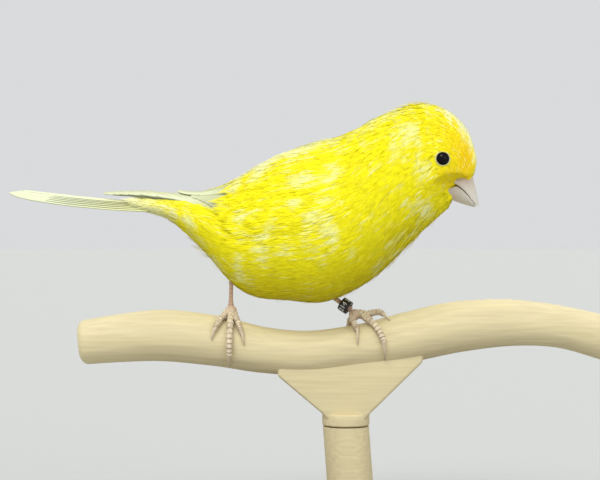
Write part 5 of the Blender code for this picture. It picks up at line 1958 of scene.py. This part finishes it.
@dataclass
class Studio:
    """The pale floor, the soft lights and the camera."""

    camera_place: Triple = (-13.7, -450.0, 83.2)
    lens: float = 96.4
    sensor_width: float = 36.0
    clip_start: float = 0.01
    aim: Triple = (-0.01, 0.0, 0.09)
    floor_reach: float = 14.0
    floor_colour: Triple = (0.50, 0.51, 0.49)
    sky_colour: Triple = (0.97, 0.98, 1.0)
    sky_strength: float = 0.72

    def floor(self) -> None:
        """Make a wide pale floor."""
        shape = bmesh.new()
        bmesh.ops.create_circle(shape, cap_ends=True, segments=96, radius=self.floor_reach)
        mesh = bpy.data.meshes.new("floor")
        shape.to_mesh(mesh)
        shape.free()
        material = bpy.data.materials.new("floor")
        material.use_nodes = True
        shader = material.node_tree.nodes["Principled BSDF"]
        shader.inputs["Base Color"].default_value = (*self.floor_colour, 1.0)
        shader.inputs["Roughness"].default_value = 0.9
        mesh.materials.append(material)
        linked("floor", mesh)

    def light(self, name: str, place: Triple, spread_degrees: float, strength: float) -> None:
        """Add one wide soft light aimed at the bird, as even as a studio's big screens.

        Args:
            name: Its name.
            place: Where it shines from, in metres.
            spread_degrees: How wide it looks from the bird.
            strength: Its strength in watts a square metre.
        """
        lamp = bpy.data.lights.new(name, "SUN")
        lamp.angle = math.radians(spread_degrees)
        lamp.energy = strength
        thing = linked(name, lamp)
        thing.location = place
        aim = Vector(self.aim) - Vector(place)
        thing.rotation_euler = aim.to_track_quat("-Z", "Y").to_euler()

    def build(self) -> None:
        """Set up floor, lights, world and camera."""
        self.floor()
        self.light("key", (-0.7, -1.7, 2.2), 32.0, 1.68)
        self.light("fill", (1.6, -2.0, 0.9), 36.0, 0.5)
        self.light("back", (0.4, 1.2, 1.6), 30.0, 0.8)
        world = bpy.data.worlds.new("studio")
        world.use_nodes = True
        sky = world.node_tree.nodes["Background"]
        sky.inputs["Color"].default_value = (*self.sky_colour, 1.0)
        sky.inputs["Strength"].default_value = self.sky_strength
        bpy.context.scene.world = world
        camera = bpy.data.cameras.new("camera")
        camera.lens = self.lens
        camera.sensor_width = self.sensor_width
        camera.clip_start = self.clip_start
        holder = linked("camera", camera)
        holder.location = Vector(self.camera_place) * MM
        holder.rotation_euler = (math.pi / 2, 0.0, 0.0)
        bpy.context.scene.camera = holder
        bpy.context.scene.view_settings.view_transform = "Standard"


def main() -> None:
    """Build every piece in order."""
    logging.basicConfig(level=logging.INFO, format="%(name)s: %(message)s")
    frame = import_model()
    Studio().build()
    group = variation_group()
    lines = vane_group()
    finishes = {name: finish.build(group, lines) for name, finish in FINISHES.items()}

    body = BodyShape()
    markings = Markings()
    eyes = Eyes(body)
    coat = Coat(body, markings, eyes.centres())
    Skin(body, coat, markings).build(finishes["plumage"])
    eyes.build(finishes["eye"], finishes["plumage"])
    Bill(body).build(finishes["horn"])
    for side, sign in SIDES:
        Wing(body, sign).build(f"flight_feathers_{side}", finishes["vane"], f"wing_{side}")
    Tail(body).build(finishes["vane"])
    for patch in COAT_PATCHES:
        settle(coat.grow(patch), finishes["plumage"], "plumage")
    Perch().build(finishes["perch wood"])
    for side, _ in SIDES:
        Foot(side).build(finishes["leg skin"])
    LegRing().build(finishes["band"], finishes["number"])
    base = frame["nodes"]["stand_base"]
    for slot in base.material_slots:
        slot.material = finishes["stand wood"]


if __name__ == "__main__":
    main()
